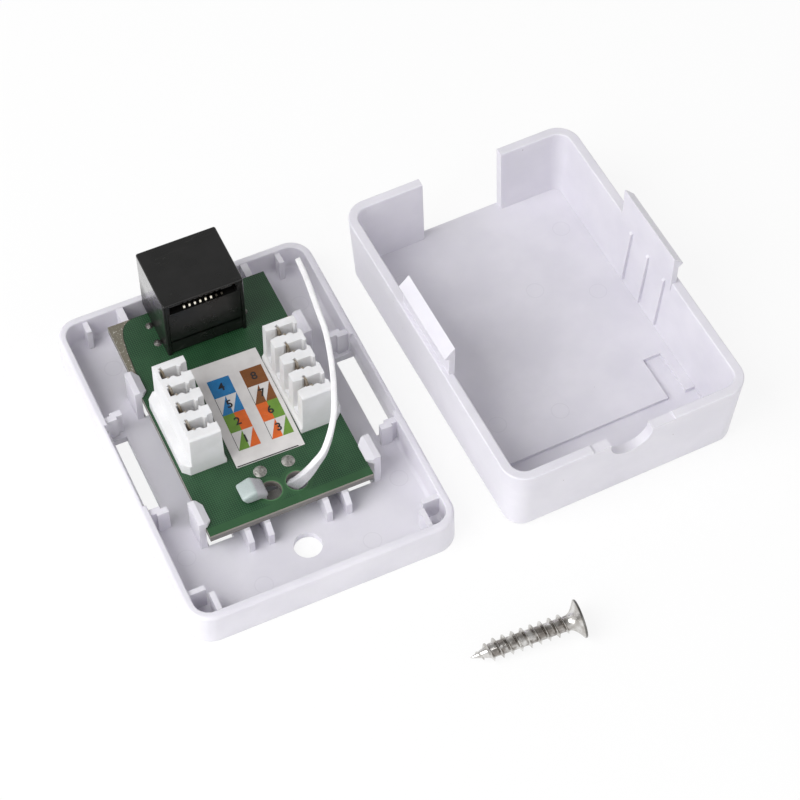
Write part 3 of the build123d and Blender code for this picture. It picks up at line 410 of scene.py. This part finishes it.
solder_finish, tree, output = new_finish("tin_solder")
life = surface_marks(tree, 0.9, 0.2)
solder_tone = tint(tree, fade(tree, life.outputs["Cloud"], 0.3, 0.7),
                   solder_dark_colour, solder_colour)
# Painted shade: solder from y = 0 mm towards the jack is darkened
solder_shade = fade(tree, xyz_in_mm(tree)[1], 0.0, 2.0, 0.0, 0.75)
solder_tone = tint(tree, solder_shade, solder_tone, solder_shade_colour)
solder_bump = put(tree, "ShaderNodeBump",
                  {"Height": life.outputs["Cloud"], "Strength": 1.0, "Distance": 0.0004})
solder_shader = put(tree, "ShaderNodeBsdfPrincipled",
                    {"Base Color": solder_tone, "Metallic": 0.9, "Normal": solder_bump.outputs[0],
                     "Roughness": fade(tree, life.outputs["Grain"], 0.2, 0.8, 0.34, 0.58)})
tree.links.new(solder_shader.outputs[0], output.inputs["Surface"])
dress(solder_finish, "solder_joints", "board_eyelets")

# Jack: the shell and its insert are moulded in black glass-filled plastic, with a satin skin that
# shines where it is seen at a flat angle, most of all high up. Below the insert a thin black sheet
# hangs in front of the solder tails, almost to the board, as painted shade under the insert.
jack_colour = srgb(21, 20, 20)
jack_dark_colour = srgb(15, 15, 14)
jack_scuff_colour = srgb(80, 79, 76)
skin_dull_z = 11.0
skin_full_z = 16.5
shade_sheet_bottom = 8.2 * mm
shade_sheet_thickness = 0.18 * mm
shade_sheet_overlap = 0.4 * mm

jack_finish, tree, output = new_finish("black_filled_plastic")
life = surface_marks(tree, 3.5, 0.14)
jack_tone = tint(tree, fade(tree, life.outputs["Cloud"], 0.3, 0.75), jack_dark_colour, jack_colour)
jack_scuffs = calc(tree, "MULTIPLY", life.outputs["Scuffs"], 0.3)
jack_tone = tint(tree, jack_scuffs, jack_tone, jack_scuff_colour)
jack_bump = put(tree, "ShaderNodeBump",
                {"Height": life.outputs["Grain"], "Strength": 0.25, "Distance": 0.00003})
seen_flat = put(tree, "ShaderNodeLayerWeight", {"Blend": 0.5}).outputs["Facing"]
skin_height = fade(tree, xyz_in_mm(tree)[2], skin_dull_z, skin_full_z)
skin_shine = calc(tree, "MULTIPLY", fade(tree, seen_flat, 0.58, 0.76), skin_height)
jack_shader = put(tree, "ShaderNodeBsdfPrincipled",
                  {"Base Color": jack_tone, "Normal": jack_bump.outputs[0], "IOR": 1.46,
                   "Roughness": fade(tree, life.outputs["Cloud"], 0.2, 0.8, 0.25, 0.34),
                   "Coat Weight": skin_shine, "Coat Roughness": 0.16, "Coat IOR": 1.95})
tree.links.new(jack_shader.outputs[0], output.inputs["Surface"])
dress(jack_finish, "jack_housing", "jack_contact_carrier")

# Painted shade: a thin black sheet below the insert, down to just above the board
carrier_low, carrier_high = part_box("jack_contact_carrier")
shade_sheet_top = carrier_low.z + shade_sheet_overlap
shade_sheet_data = bpy.data.meshes.new("jack_shade_sheet")
shade_sheet = bmesh.new()
bmesh.ops.create_cube(shade_sheet, size=1.0)
bmesh.ops.scale(shade_sheet, verts=shade_sheet.verts, vec=(
    carrier_high.x - carrier_low.x, shade_sheet_thickness, shade_sheet_top - shade_sheet_bottom))
bmesh.ops.translate(shade_sheet, verts=shade_sheet.verts, vec=(
    (carrier_low.x + carrier_high.x) / 2, carrier_low.y + shade_sheet_thickness / 2,
    (shade_sheet_top + shade_sheet_bottom) / 2))
shade_sheet.to_mesh(shade_sheet_data)
shade_sheet.free()
shade_sheet_data.materials.append(jack_finish)
shade_sheet_piece = bpy.data.objects.new("jack_shade_sheet", shade_sheet_data)
bpy.context.scene.collection.objects.link(shade_sheet_piece)
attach(shade_sheet_piece, "root")

# Contact wires: hard phosphor bronze wire, bent to shape and plated a pale gold. The two on the
# right lie in shade in the photograph, and look almost black.
contact_count = 8
shaded_wires_x = 1.6
wire_colour = srgb(236, 232, 222)
wire_dull_colour = srgb(222, 214, 196)
shaded_wire_colour = srgb(58, 54, 48)

wire_finish, tree, output = new_finish("plated_wire")
life = surface_marks(tree, 1.2, 0.08)
wire_tone = tint(tree, fade(tree, life.outputs["Cloud"], 0.3, 0.7),
                 wire_dull_colour, wire_colour)
wire_shaded = fade(tree, xyz_in_mm(tree)[0], shaded_wires_x - 0.1, shaded_wires_x + 0.1)
wire_tone = tint(tree, wire_shaded, wire_tone, shaded_wire_colour)
wire_shader = put(tree, "ShaderNodeBsdfPrincipled",
                  {"Base Color": wire_tone, "Metallic": 1.0,
                   "Roughness": fade(tree, life.outputs["Grain"], 0.2, 0.8, 0.16, 0.3)})
tree.links.new(wire_shader.outputs[0], output.inputs["Surface"])
dress(wire_finish, *[f"jack_contact_{i + 1}" for i in range(contact_count)])

# Punch-down blocks: moulded in white polyester, with crisp edges that are barely rounded. They are
# held on the board by the soldered pins of their contacts.
block_colour = srgb(231, 231, 233)
block_shade_colour = srgb(222, 222, 223)
block_dust_colour = srgb(140, 128, 112)
block_edge_radius = 0.14 * mm

block_finish, tree, output = new_finish("white_polyester")
life = surface_marks(tree, 5.0, 0.1)
block_tone = tint(tree, fade(tree, life.outputs["Cloud"], 0.3, 0.7),
                  block_shade_colour, block_colour)
block_dust = calc(tree, "MULTIPLY", life.outputs["Specks"], 0.4)
block_tone = tint(tree, block_dust, block_tone, block_dust_colour)
block_edge = put(tree, "ShaderNodeBevel", {"Radius": block_edge_radius}, samples=4)
block_bump = put(tree, "ShaderNodeBump",
                 {"Height": life.outputs["Grain"], "Strength": 0.2, "Distance": 0.00003,
                  "Normal": block_edge.outputs[0]})
block_shader = put(tree, "ShaderNodeBsdfPrincipled",
                   {"Base Color": block_tone, "Normal": block_bump.outputs[0], "IOR": 1.5,
                    "Roughness": fade(tree, life.outputs["Cloud"], 0.2, 0.8, 0.36, 0.48),
                    "Subsurface Weight": 0.15, "Subsurface Radius": (0.0012, 0.0011, 0.001),
                    "Subsurface Scale": 1.0})
tree.links.new(block_shader.outputs[0], output.inputs["Surface"])
dress(block_finish, "terminal_block_left", "terminal_block_right")

# Forked contacts: stamped from thin tinned brass, with brass showing at the cuts. Each stands in a
# slot of its block, and its pin is soldered into the board.
fork_brass_colour = srgb(172, 158, 138)
fork_tin_colour = srgb(214, 206, 194)

fork_finish, tree, output = new_finish("tinned_brass")
life = surface_marks(tree, 1.4, 0.1)
fork_tone = tint(tree, fade(tree, life.outputs["Cloud"], 0.35, 0.65),
                 fork_brass_colour, fork_tin_colour)
fork_bump = put(tree, "ShaderNodeBump",
                {"Height": life.outputs["Cloud"], "Strength": 0.3, "Distance": 0.00006})
fork_shader = put(tree, "ShaderNodeBsdfPrincipled",
                  {"Base Color": fork_tone, "Metallic": 1.0, "Normal": fork_bump.outputs[0],
                   "Roughness": fade(tree, life.outputs["Grain"], 0.2, 0.8, 0.24, 0.4)})
tree.links.new(fork_shader.outputs[0], output.inputs["Surface"])
dress(fork_finish, *[f"terminal_contact_{i + 1}" for i in range(contact_count)])

# Wiring card: coated card, stuck on the board a little askew. It is printed with two columns of
# wire colours, whole or cut to white on a slant, plain numbers and a line along the near edge.
card_centre = Vector((0.35, 2.7, 0)) * mm
card_turn = math.radians(-1.4)
card_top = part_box("wiring_label")[1].z
ink_height = 0.02 * mm
field_width = 4.12 * mm
field_pitch = 3.97 * mm
field_top = 7.62 * mm
column_left = {"left": -4.74 * mm, "right": 1.46 * mm}
ink_colours = {
    "blue": srgb(34, 118, 176),
    "green": srgb(104, 144, 50),
    "orange": srgb(214, 98, 30),
    "brown": srgb(122, 72, 30),
}
# One row for each field, from the far end: number, striped or whole, colours of its two halves
columns = {
    "left": ((4, False, "blue", "blue"), (5, True, "blue", "blue"),
             (2, False, "green", "orange"), (1, True, "green", "orange")),
    "right": ((8, False, "brown", "brown"), (7, True, "brown", "brown"),
              (6, False, "orange", "green"), (3, True, "orange", "green")),
}
number_height = 2.3 * mm
number_thickness = 0.004 * mm
number_boldness = 0.05 * mm
hairline_width = 0.09 * mm
near_line_width = 0.22 * mm
near_line_v = -11.33 * mm
near_line_ends = (-6.2 * mm, 5.2 * mm)
card_colour = srgb(217, 214, 213)
card_shade_colour = srgb(206, 203, 202)
card_dust_colour = srgb(120, 110, 100)
card_in_ink_colour = srgb(224, 222, 220)
dark_ink_colour = srgb(30, 26, 24)
black_ink_colour = srgb(34, 32, 32)
card_place = (Matrix.Translation(Vector((card_centre.x, card_centre.y, card_top)))
              @ Matrix.Rotation(card_turn, 4, "Z"))

card_finish, tree, output = new_finish("coated_card")
life = surface_marks(tree, 3.0, 0.18)
card_tone = tint(tree, fade(tree, life.outputs["Cloud"], 0.3, 0.7),
                 card_shade_colour, card_colour)
card_dust = calc(tree, "MULTIPLY", life.outputs["Specks"], 0.3)
card_tone = tint(tree, card_dust, card_tone, card_dust_colour)
card_bump = put(tree, "ShaderNodeBump",
                {"Height": life.outputs["Grain"], "Strength": 0.2, "Distance": 0.00002})
card_shader = put(tree, "ShaderNodeBsdfPrincipled",
                  {"Base Color": card_tone, "Normal": card_bump.outputs[0],
                   "Roughness": fade(tree, life.outputs["Grain"], 0.2, 0.8, 0.4, 0.55)})
tree.links.new(card_shader.outputs[0], output.inputs["Surface"])
dress(card_finish, "wiring_label")


def printed_ink(name, colour):
    """Printing ink on the card: the card shows through it in a fine dotted screen."""
    material, tree, output = new_finish(name)
    place = place_in_mm(tree)
    screen = noise(tree, place, 0.16, 2.0, 0.7)
    patch = noise(tree, place, 1.6, 2.0)
    tone = tint(tree, fade(tree, screen, 0.62, 0.8, 0.0, 0.22), colour, card_in_ink_colour)
    tone = tint(tree, fade(tree, patch, 0.3, 0.7, 0.0, 0.14), tone, dark_ink_colour)
    shader = put(tree, "ShaderNodeBsdfPrincipled",
                 {"Base Color": tone, "Roughness": fade(tree, patch, 0.2, 0.8, 0.36, 0.5)})
    tree.links.new(shader.outputs[0], output.inputs["Surface"])
    return material


def print_shape(name, outlines, material):
    """Flat printed shapes on the card, each an outline of (across, along) points in metres."""
    mesh = bmesh.new()
    for outline in outlines:
        mesh.faces.new([mesh.verts.new((u, v, ink_height)) for u, v in outline])
    data = bpy.data.meshes.new(name)
    mesh.to_mesh(data)
    mesh.free()
    data.transform(card_place)
    data.materials.append(material)
    piece = bpy.data.objects.new(name, data)
    bpy.context.scene.collection.objects.link(piece)
    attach(piece, "root")


fields = {ink: [] for ink in ink_colours}
hairlines = []
black_ink = printed_ink("black_ink", black_ink_colour)
for column, rows in columns.items():
    for row, (number, striped, *halves) in enumerate(rows):
        top = field_top - row * field_pitch
        bottom = top - field_pitch
        for half, ink in enumerate(halves):
            near_u = column_left[column] + half * field_width / 2
            far_u = near_u + field_width / 2
            if striped:
                fields[ink].append([(near_u, bottom), (far_u, bottom), (far_u, top)])
            else:
                fields[ink].append([(near_u, bottom), (far_u, bottom), (far_u, top),
                                    (near_u, top)])
        if striped:
            near_u = column_left[column]
            hairlines.append([(near_u, bottom), (near_u + hairline_width, bottom),
                              (near_u + hairline_width, top), (near_u, top)])
        figure = bpy.data.curves.new(f"card_number_{number}", "FONT")
        figure.body = str(number)
        figure.size = number_height
        figure.extrude = number_thickness
        figure.offset = number_boldness
        figure.align_x = "CENTER"
        figure.align_y = "CENTER"
        figure.materials.append(black_ink)
        figure_piece = bpy.data.objects.new(f"card_number_{number}", figure)
        figure_piece.matrix_world = card_place @ Matrix.Translation(
            (column_left[column] + field_width / 2, (top + bottom) / 2, 2 * ink_height))
        bpy.context.scene.collection.objects.link(figure_piece)
        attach(figure_piece, "root")
for ink, outlines in fields.items():
    print_shape(f"card_{ink}_fields", outlines, printed_ink(f"{ink}_ink", ink_colours[ink]))
hairlines.append([(near_line_ends[0], near_line_v), (near_line_ends[1], near_line_v),
                  (near_line_ends[1], near_line_v + near_line_width),
                  (near_line_ends[0], near_line_v + near_line_width)])
print_shape("card_lines", hairlines, black_ink)

# Cable tie: natural nylon, milky and a little clear. A peaked head sits on the board. The strap
# goes down the left hole, up the right one and on in a free bow, on its side, with fine teeth.
tie_head_section = ((-7.5, 7.6), (-8.45, 9.4), (-5.7, 10.5), (-3.5, 8.6), (-3.5, 7.6))
tie_head_near_y = -16.2
tie_head_far_y = -12.55
tie_head_bevel = 0.5
tie_width = 2.3
tie_thickness = 0.95
tooth_pitch = 0.62
tooth_height = 0.14
tooth_band = 0.6
sections_a_tooth = 4
# Middle of the strap from the head to the tip, and the direction of its width, in millimetres
tie_path = (
    ((-4.25, -15.0, 8.1), (0, -1, 0)), ((-4.2, -15.0, 6.6), (0, -1, 0)),
    ((-3.5, -15.0, 5.4), (0, -1, 0)),
    ((-1.2, -15.1, 5.3), (0, -1, 0)), ((0.3, -15.2, 5.35), (0.1, -0.95, -0.1)),
    ((1.15, -15.45, 6.3), (0.45, -0.75, -0.25)), ((1.35, -15.65, 7.6), (0.66, -0.59, -0.46)),
    ((1.5, -16.25, 8.8), (0.66, -0.5, -0.52)), ((1.85, -16.85, 10.0), (0.62, -0.34, -0.6)),
    ((2.95, -17.5, 12.2), (0.54, -0.1, -0.7)), ((4.8, -17.4, 14.3), (0.44, 0.2, -0.78)),
    ((7.2, -16.5, 16.4), (0.33, 0.4, -0.82)), ((10.2, -13.2, 19.2), (0.26, 0.5, -0.82)),
    ((12.45, -8.4, 20.5), (0.24, 0.52, -0.82)), ((14.4, -2.85, 20.8), (0.24, 0.52, -0.82)),
    ((15.95, 2.9, 20.6), (0.24, 0.52, -0.82)), ((16.85, 8.5, 20.0), (0.24, 0.52, -0.82)),
    ((18.1, 16.3, 18.8), (0.24, 0.52, -0.82)), ((18.7, 21.4, 17.9), (0.24, 0.52, -0.82)),
)
tip_length = 3.2
tip_width = 1.2
tie_smooth_angle = math.radians(35)
strap_flat_share = 0.86
strap_side_share = 0.6
nylon_colour = srgb(244, 243, 245)
nylon_dull_colour = srgb(234, 233, 235)
# Painted shade: the strap is greyed low down and darkest under the board, and the head is greyed,
# with a green cast, left of its ridge
low_shade_z = (9.0, 18.0)
low_shade_colour = srgb(178, 177, 182)
under_board_shadow_z = (6.3, 7.3)
under_board_shadow_colour = srgb(118, 117, 114)
left_of_ridge_shade_x = (-5.75, -5.35)
left_of_ridge_shade_colour = srgb(174, 185, 184)

tie_finish, tree, output = new_finish("natural_nylon")
life = surface_marks(tree, 2.5, 0.12)
tie_tone = tint(tree, fade(tree, life.outputs["Cloud"], 0.3, 0.7),
                nylon_dull_colour, nylon_colour)
tie_xyz = xyz_in_mm(tree)
# Each painted shade is mixed in by height or by side
for value, (low, high), colour in (
    (tie_xyz[2], low_shade_z, low_shade_colour),
    (tie_xyz[2], under_board_shadow_z, under_board_shadow_colour),
    (tie_xyz[0], left_of_ridge_shade_x, left_of_ridge_shade_colour),
):
    tie_tone = tint(tree, fade(tree, value, low, high, 1.0, 0.0), tie_tone, colour)
tie_bump = put(tree, "ShaderNodeBump",
               {"Height": life.outputs["Cloud"], "Strength": 0.15, "Distance": 0.00005})
tie_shader = put(tree, "ShaderNodeBsdfPrincipled",
                 {"Base Color": tie_tone, "Normal": tie_bump.outputs[0], "IOR": 1.53,
                  "Roughness": fade(tree, life.outputs["Grain"], 0.2, 0.8, 0.22, 0.36),
                  "Subsurface Weight": 0.4, "Subsurface Radius": (0.0010, 0.0011, 0.0010),
                  "Subsurface Scale": 1.0})
tree.links.new(tie_shader.outputs[0], output.inputs["Surface"])

tie_mesh = bmesh.new()
head_ends = [[tie_mesh.verts.new((x, y, z)) for x, z in tie_head_section]
             for y in (tie_head_near_y, tie_head_far_y)]
tie_mesh.faces.new(head_ends[0])
tie_mesh.faces.new(list(reversed(head_ends[1])))
for k in range(len(tie_head_section)):
    beside = (k + 1) % len(tie_head_section)
    tie_mesh.faces.new((head_ends[0][beside], head_ends[0][k],
                        head_ends[1][k], head_ends[1][beside]))
bmesh.ops.recalc_face_normals(tie_mesh, faces=tie_mesh.faces)
bmesh.ops.bevel(tie_mesh, geom=tie_mesh.edges[:], offset=tie_head_bevel, segments=3, profile=0.5,
                affect="EDGES")

strap_points = [Vector(point) for point, width_way in tie_path]
strap_ways = [Vector(width_way).normalized() for point, width_way in tie_path]
strap_lengths = [0.0]
for before, after in zip(strap_points, strap_points[1:]):
    strap_lengths.append(strap_lengths[-1] + (after - before).length)
step = tooth_pitch / sections_a_tooth
last_loop = None
for k in range(int(strap_lengths[-1] / step) + 1):
    along = k * step
    leg = max(i for i in range(len(strap_lengths) - 1) if strap_lengths[i] <= along)
    share = (along - strap_lengths[leg]) / (strap_lengths[leg + 1] - strap_lengths[leg])
    # A smooth curve through four neighbouring points, and its direction
    knots = [strap_points[min(max(leg + i, 0), len(strap_points) - 1)] for i in (-1, 0, 1, 2)]
    rise = knots[2] - knots[0]
    bend = 2 * knots[0] - 5 * knots[1] + 4 * knots[2] - knots[3]
    sway = 3 * knots[1] - knots[0] - 3 * knots[2] + knots[3]
    middle = 0.5 * (2 * knots[1] + rise * share + bend * share ** 2 + sway * share ** 3)
    heading = 0.5 * (rise + 2 * bend * share + 3 * sway * share ** 2)
    heading.normalize()
    across = strap_ways[leg].lerp(strap_ways[leg + 1], share)
    across = (across - heading * across.dot(heading)).normalized()
    outward = heading.cross(across)
    half_width = tie_width / 2
    to_tip = strap_lengths[-1] - along
    if to_tip < tip_length:
        half_width = tip_width / 2 + (tie_width - tip_width) / 2 * to_tip / tip_length
    in_tooth = k % sections_a_tooth < sections_a_tooth / 2 and to_tip > tip_length
    tooth = tooth_height if in_tooth else 0.0
    half = tie_thickness / 2
    band = min(tooth_band, half_width * 0.6)
    flat = half_width * strap_flat_share
    side = half * strap_side_share
    section = ((-half_width, -side), (-flat, -half), (flat, -half), (half_width, -side),
               (half_width, side), (flat, half), (band, half), (band, half - tooth),
               (-band, half - tooth), (-band, half), (-flat, half), (-half_width, side))
    loop = [tie_mesh.verts.new(middle + across * u + outward * v) for u, v in section]
    if last_loop:
        for j in range(len(loop)):
            beside = (j + 1) % len(loop)
            tie_mesh.faces.new((last_loop[j], last_loop[beside], loop[beside], loop[j]))
    else:
        tie_mesh.faces.new(list(reversed(loop)))
    last_loop = loop
tie_mesh.faces.new(last_loop)
tie_data = bpy.data.meshes.new("cable_tie_body")
tie_mesh.to_mesh(tie_data)
tie_mesh.free()
tie_data.transform(Matrix.Scale(mm, 4))
tie_data.shade_smooth()
tie_data.set_sharp_from_angle(angle=tie_smooth_angle)
tie_data.materials.append(tie_finish)
tie_piece = bpy.data.objects.new("cable_tie_body", tie_data)
bpy.context.scene.collection.objects.link(tie_piece)
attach(tie_piece, "root")
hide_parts("cable_tie")

# Wall screw: cold-headed steel wire with a rolled thread and a pressed cross recess, zinc plated.
# It lies on its thread and on the rim of its head.
screw_tip = Vector((15.83, -56.08))
screw_heading = math.radians(-5.55)
screw_length = 19.85
screw_head_radius = 3.425
screw_head_height = 2.4
screw_head_rim = 0.35
screw_neck_radius = 1.36
thread_radius = 1.95
core_radius = 1.3
thread_pitch = 1.67
thread_start = 0.3
thread_phase = 0.47
thread_end = 18.0
point_length = 3.6
thread_root_width = 0.78
thread_crest_width = 0.08
steps_a_turn = 48
recess_half_width = 1.95
recess_half_slot = 0.475
recess_depth = 1.9
third_crest = 2.7 * thread_pitch
blunt_tip = (0.25, 0.16)
neck_taper = 1.2
head_flare = 1.75
flare_steps = 8
rim_chamfer = (0.08, 0.09)
thread_sink = 0.95
thread_keel = 0.7
thread_smooth_angle = math.radians(32)
zinc_colour = srgb(230, 229, 227)
zinc_dull_colour = srgb(176, 172, 167)
thread_root_shade_colour = srgb(120, 113, 107)
head_rim_shade_colour = srgb(84, 84, 80)
head_rim_shade_from = 19.4

screw_tilt = math.atan((screw_head_radius - thread_radius) / (screw_length - third_crest))
screw_tip_height = screw_head_radius * math.cos(screw_tilt) - screw_length * math.sin(screw_tilt)
screw_place = (Matrix.Translation(Vector((screw_tip.x, screw_tip.y, screw_tip_height)) * mm)
               @ Matrix.Rotation(screw_heading, 4, "Z") @ Matrix.Rotation(-screw_tilt, 4, "Y")
               @ Matrix.Scale(mm, 4))

screw_mesh = bmesh.new()
head_start = screw_length - screw_head_height
profile = [blunt_tip, (point_length, core_radius), (head_start - neck_taper, core_radius),
           (head_start, screw_neck_radius)]
flare_width = screw_head_radius - screw_neck_radius
for i in range(1, flare_steps + 1):
    share = i / flare_steps
    profile.append((head_start + share * (screw_head_height - screw_head_rim),
                    screw_neck_radius + flare_width * share ** head_flare))
profile += [(screw_length - rim_chamfer[0], screw_head_radius),
            (screw_length, screw_head_radius - rim_chamfer[1])]
rings = []
for along, radius in profile:
    rings.append([screw_mesh.verts.new((along, radius * math.cos(2 * math.pi * k / steps_a_turn),
                                        radius * math.sin(2 * math.pi * k / steps_a_turn)))
                  for k in range(steps_a_turn)])
tip_vertex = screw_mesh.verts.new((0, 0, 0))
for k in range(steps_a_turn):
    beside = (k + 1) % steps_a_turn
    screw_mesh.faces.new((tip_vertex, rings[0][beside], rings[0][k]))
    for ring, next_ring in zip(rings, rings[1:]):
        screw_mesh.faces.new((ring[k], ring[beside], next_ring[beside], next_ring[k]))
screw_mesh.faces.new(rings[-1])
bmesh.ops.recalc_face_normals(screw_mesh, faces=screw_mesh.faces)
screw_data = bpy.data.meshes.new("wall_screw_body")
screw_mesh.to_mesh(screw_data)
screw_mesh.free()
screw_piece = bpy.data.objects.new("wall_screw_body", screw_data)
bpy.context.scene.collection.objects.link(screw_piece)

recess_mesh = bmesh.new()
for turn in (0, 1):
    corners = []
    for depth, shrink in ((0.2, 1.04), (-recess_depth, 0.55)):
        for side_a, side_b in ((-1, -1), (1, -1), (1, 1), (-1, 1)):
            across = (recess_half_width * shrink * side_a, recess_half_slot * shrink * side_b)
            if turn:
                across = (-across[1], across[0])
            corners.append(recess_mesh.verts.new((screw_length + depth, *across)))
    for loop in ((0, 1, 2, 3), (7, 6, 5, 4), (0, 4, 5, 1), (1, 5, 6, 2), (2, 6, 7, 3),
                 (3, 7, 4, 0)):
        recess_mesh.faces.new([corners[k] for k in loop])
bmesh.ops.recalc_face_normals(recess_mesh, faces=recess_mesh.faces)
recess_data = bpy.data.meshes.new("recess_cutter")
recess_mesh.to_mesh(recess_data)
recess_mesh.free()
recess_cutter = bpy.data.objects.new("recess_cutter", recess_data)
bpy.context.scene.collection.objects.link(recess_cutter)
recess_cut = screw_piece.modifiers.new("recess", "BOOLEAN")
recess_cut.operation = "DIFFERENCE"
recess_cut.use_self = True
recess_cut.object = recess_cutter
bpy.context.view_layer.update()
settled_screw = screw_piece.evaluated_get(bpy.context.evaluated_depsgraph_get())
cut_screw = bpy.data.meshes.new_from_object(settled_screw)
screw_piece.modifiers.clear()
bpy.data.objects.remove(recess_cutter)

thread_mesh = bmesh.new()
thread_mesh.from_mesh(cut_screw)
turns = (thread_end - thread_start) / thread_pitch
last_loop = None
for k in range(int(turns * steps_a_turn) + 1):
    along = thread_start + k * thread_pitch / steps_a_turn
    run_out = min((thread_end - along) / thread_pitch + 0.02, 1.0) ** 0.5
    fullness = min(along / point_length, 1.0) * run_out
    core_here = core_radius * min(along / point_length, 1.0)
    crest = core_here + (thread_radius - core_radius) * fullness
    root_half = thread_root_width / 2 * max(fullness, 0.25)
    crest_half = thread_crest_width / 2
    angle = 2 * math.pi * (k / steps_a_turn - thread_phase)
    section = ((along - root_half, core_here * thread_sink), (along - crest_half, crest),
               (along + crest_half, crest), (along + root_half, core_here * thread_sink),
               (along, core_here * thread_keel))
    loop = [thread_mesh.verts.new((x, r * math.cos(angle), r * math.sin(angle)))
            for x, r in section]
    if last_loop:
        for j in range(len(loop)):
            beside = (j + 1) % len(loop)
            thread_mesh.faces.new((last_loop[j], last_loop[beside], loop[beside], loop[j]))
    else:
        thread_mesh.faces.new(list(reversed(loop)))
    last_loop = loop
thread_mesh.faces.new(last_loop)
bmesh.ops.recalc_face_normals(thread_mesh, faces=thread_mesh.faces)
thread_mesh.to_mesh(screw_data)
thread_mesh.free()
screw_data.transform(screw_place)
screw_data.shade_smooth()
screw_data.set_sharp_from_angle(angle=thread_smooth_angle)

zinc_finish, tree, output = new_finish("bright_zinc")
life = surface_marks(tree, 1.8, 0.1)
zinc_tone = tint(tree, fade(tree, life.outputs["Cloud"], 0.3, 0.7),
                 zinc_dull_colour, zinc_colour)

# Painted shade: the rolled core between the crests is darkened in patches, and so is the thin side
# of the head
screw_axis = (screw_place.to_3x3() @ Vector((1, 0, 0))).normalized()
from_tip = put(tree, "ShaderNodeVectorMath",
               {0: place_in_mm(tree), 1: screw_place.to_translation() / mm},
               operation="SUBTRACT").outputs[0]
along_screw = put(tree, "ShaderNodeVectorMath", {0: from_tip, 1: screw_axis},
                  operation="DOT_PRODUCT").outputs["Value"]
beside_axis = put(tree, "ShaderNodeVectorMath", {0: from_tip, 1: screw_axis},
                  operation="CROSS_PRODUCT").outputs[0]
off_axis = put(tree, "ShaderNodeVectorMath", {0: beside_axis}, operation="LENGTH").outputs["Value"]
in_thread = calc(tree, "MULTIPLY", fade(tree, along_screw, 2.6, 4.0),
                 fade(tree, along_screw, thread_end - 0.8, thread_end, 1.0, 0.0))
thread_root_shade = calc(tree, "MULTIPLY", in_thread,
               fade(tree, off_axis, core_radius, thread_radius - 0.2, 1.0, 0.0))
thread_root_shade_patches = fade(tree, noise(tree, place_in_mm(tree), 1.6, 2.0), 0.35, 0.62, 0.15, 0.85)
thread_root_shade = calc(tree, "MULTIPLY", thread_root_shade, thread_root_shade_patches)
zinc_tone = tint(tree, thread_root_shade, zinc_tone, thread_root_shade_colour)
# Painted shade on the thin side of the head
head_rim_shade = fade(tree, along_screw, head_rim_shade_from, head_rim_shade_from + 0.1, 0.0, 0.8)
zinc_tone = tint(tree, head_rim_shade, zinc_tone, head_rim_shade_colour)
zinc_bump = put(tree, "ShaderNodeBump",
                {"Height": life.outputs["Cloud"], "Strength": 0.35, "Distance": 0.00006})
zinc_shader = put(tree, "ShaderNodeBsdfPrincipled",
                  {"Base Color": zinc_tone, "Metallic": 1.0, "Normal": zinc_bump.outputs[0],
                   "Roughness": fade(tree, life.outputs["Grain"], 0.2, 0.8, 0.12, 0.26)})
tree.links.new(zinc_shader.outputs[0], output.inputs["Surface"])
screw_data.materials.append(zinc_finish)
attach(screw_piece, "root")
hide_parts("wall_screw")
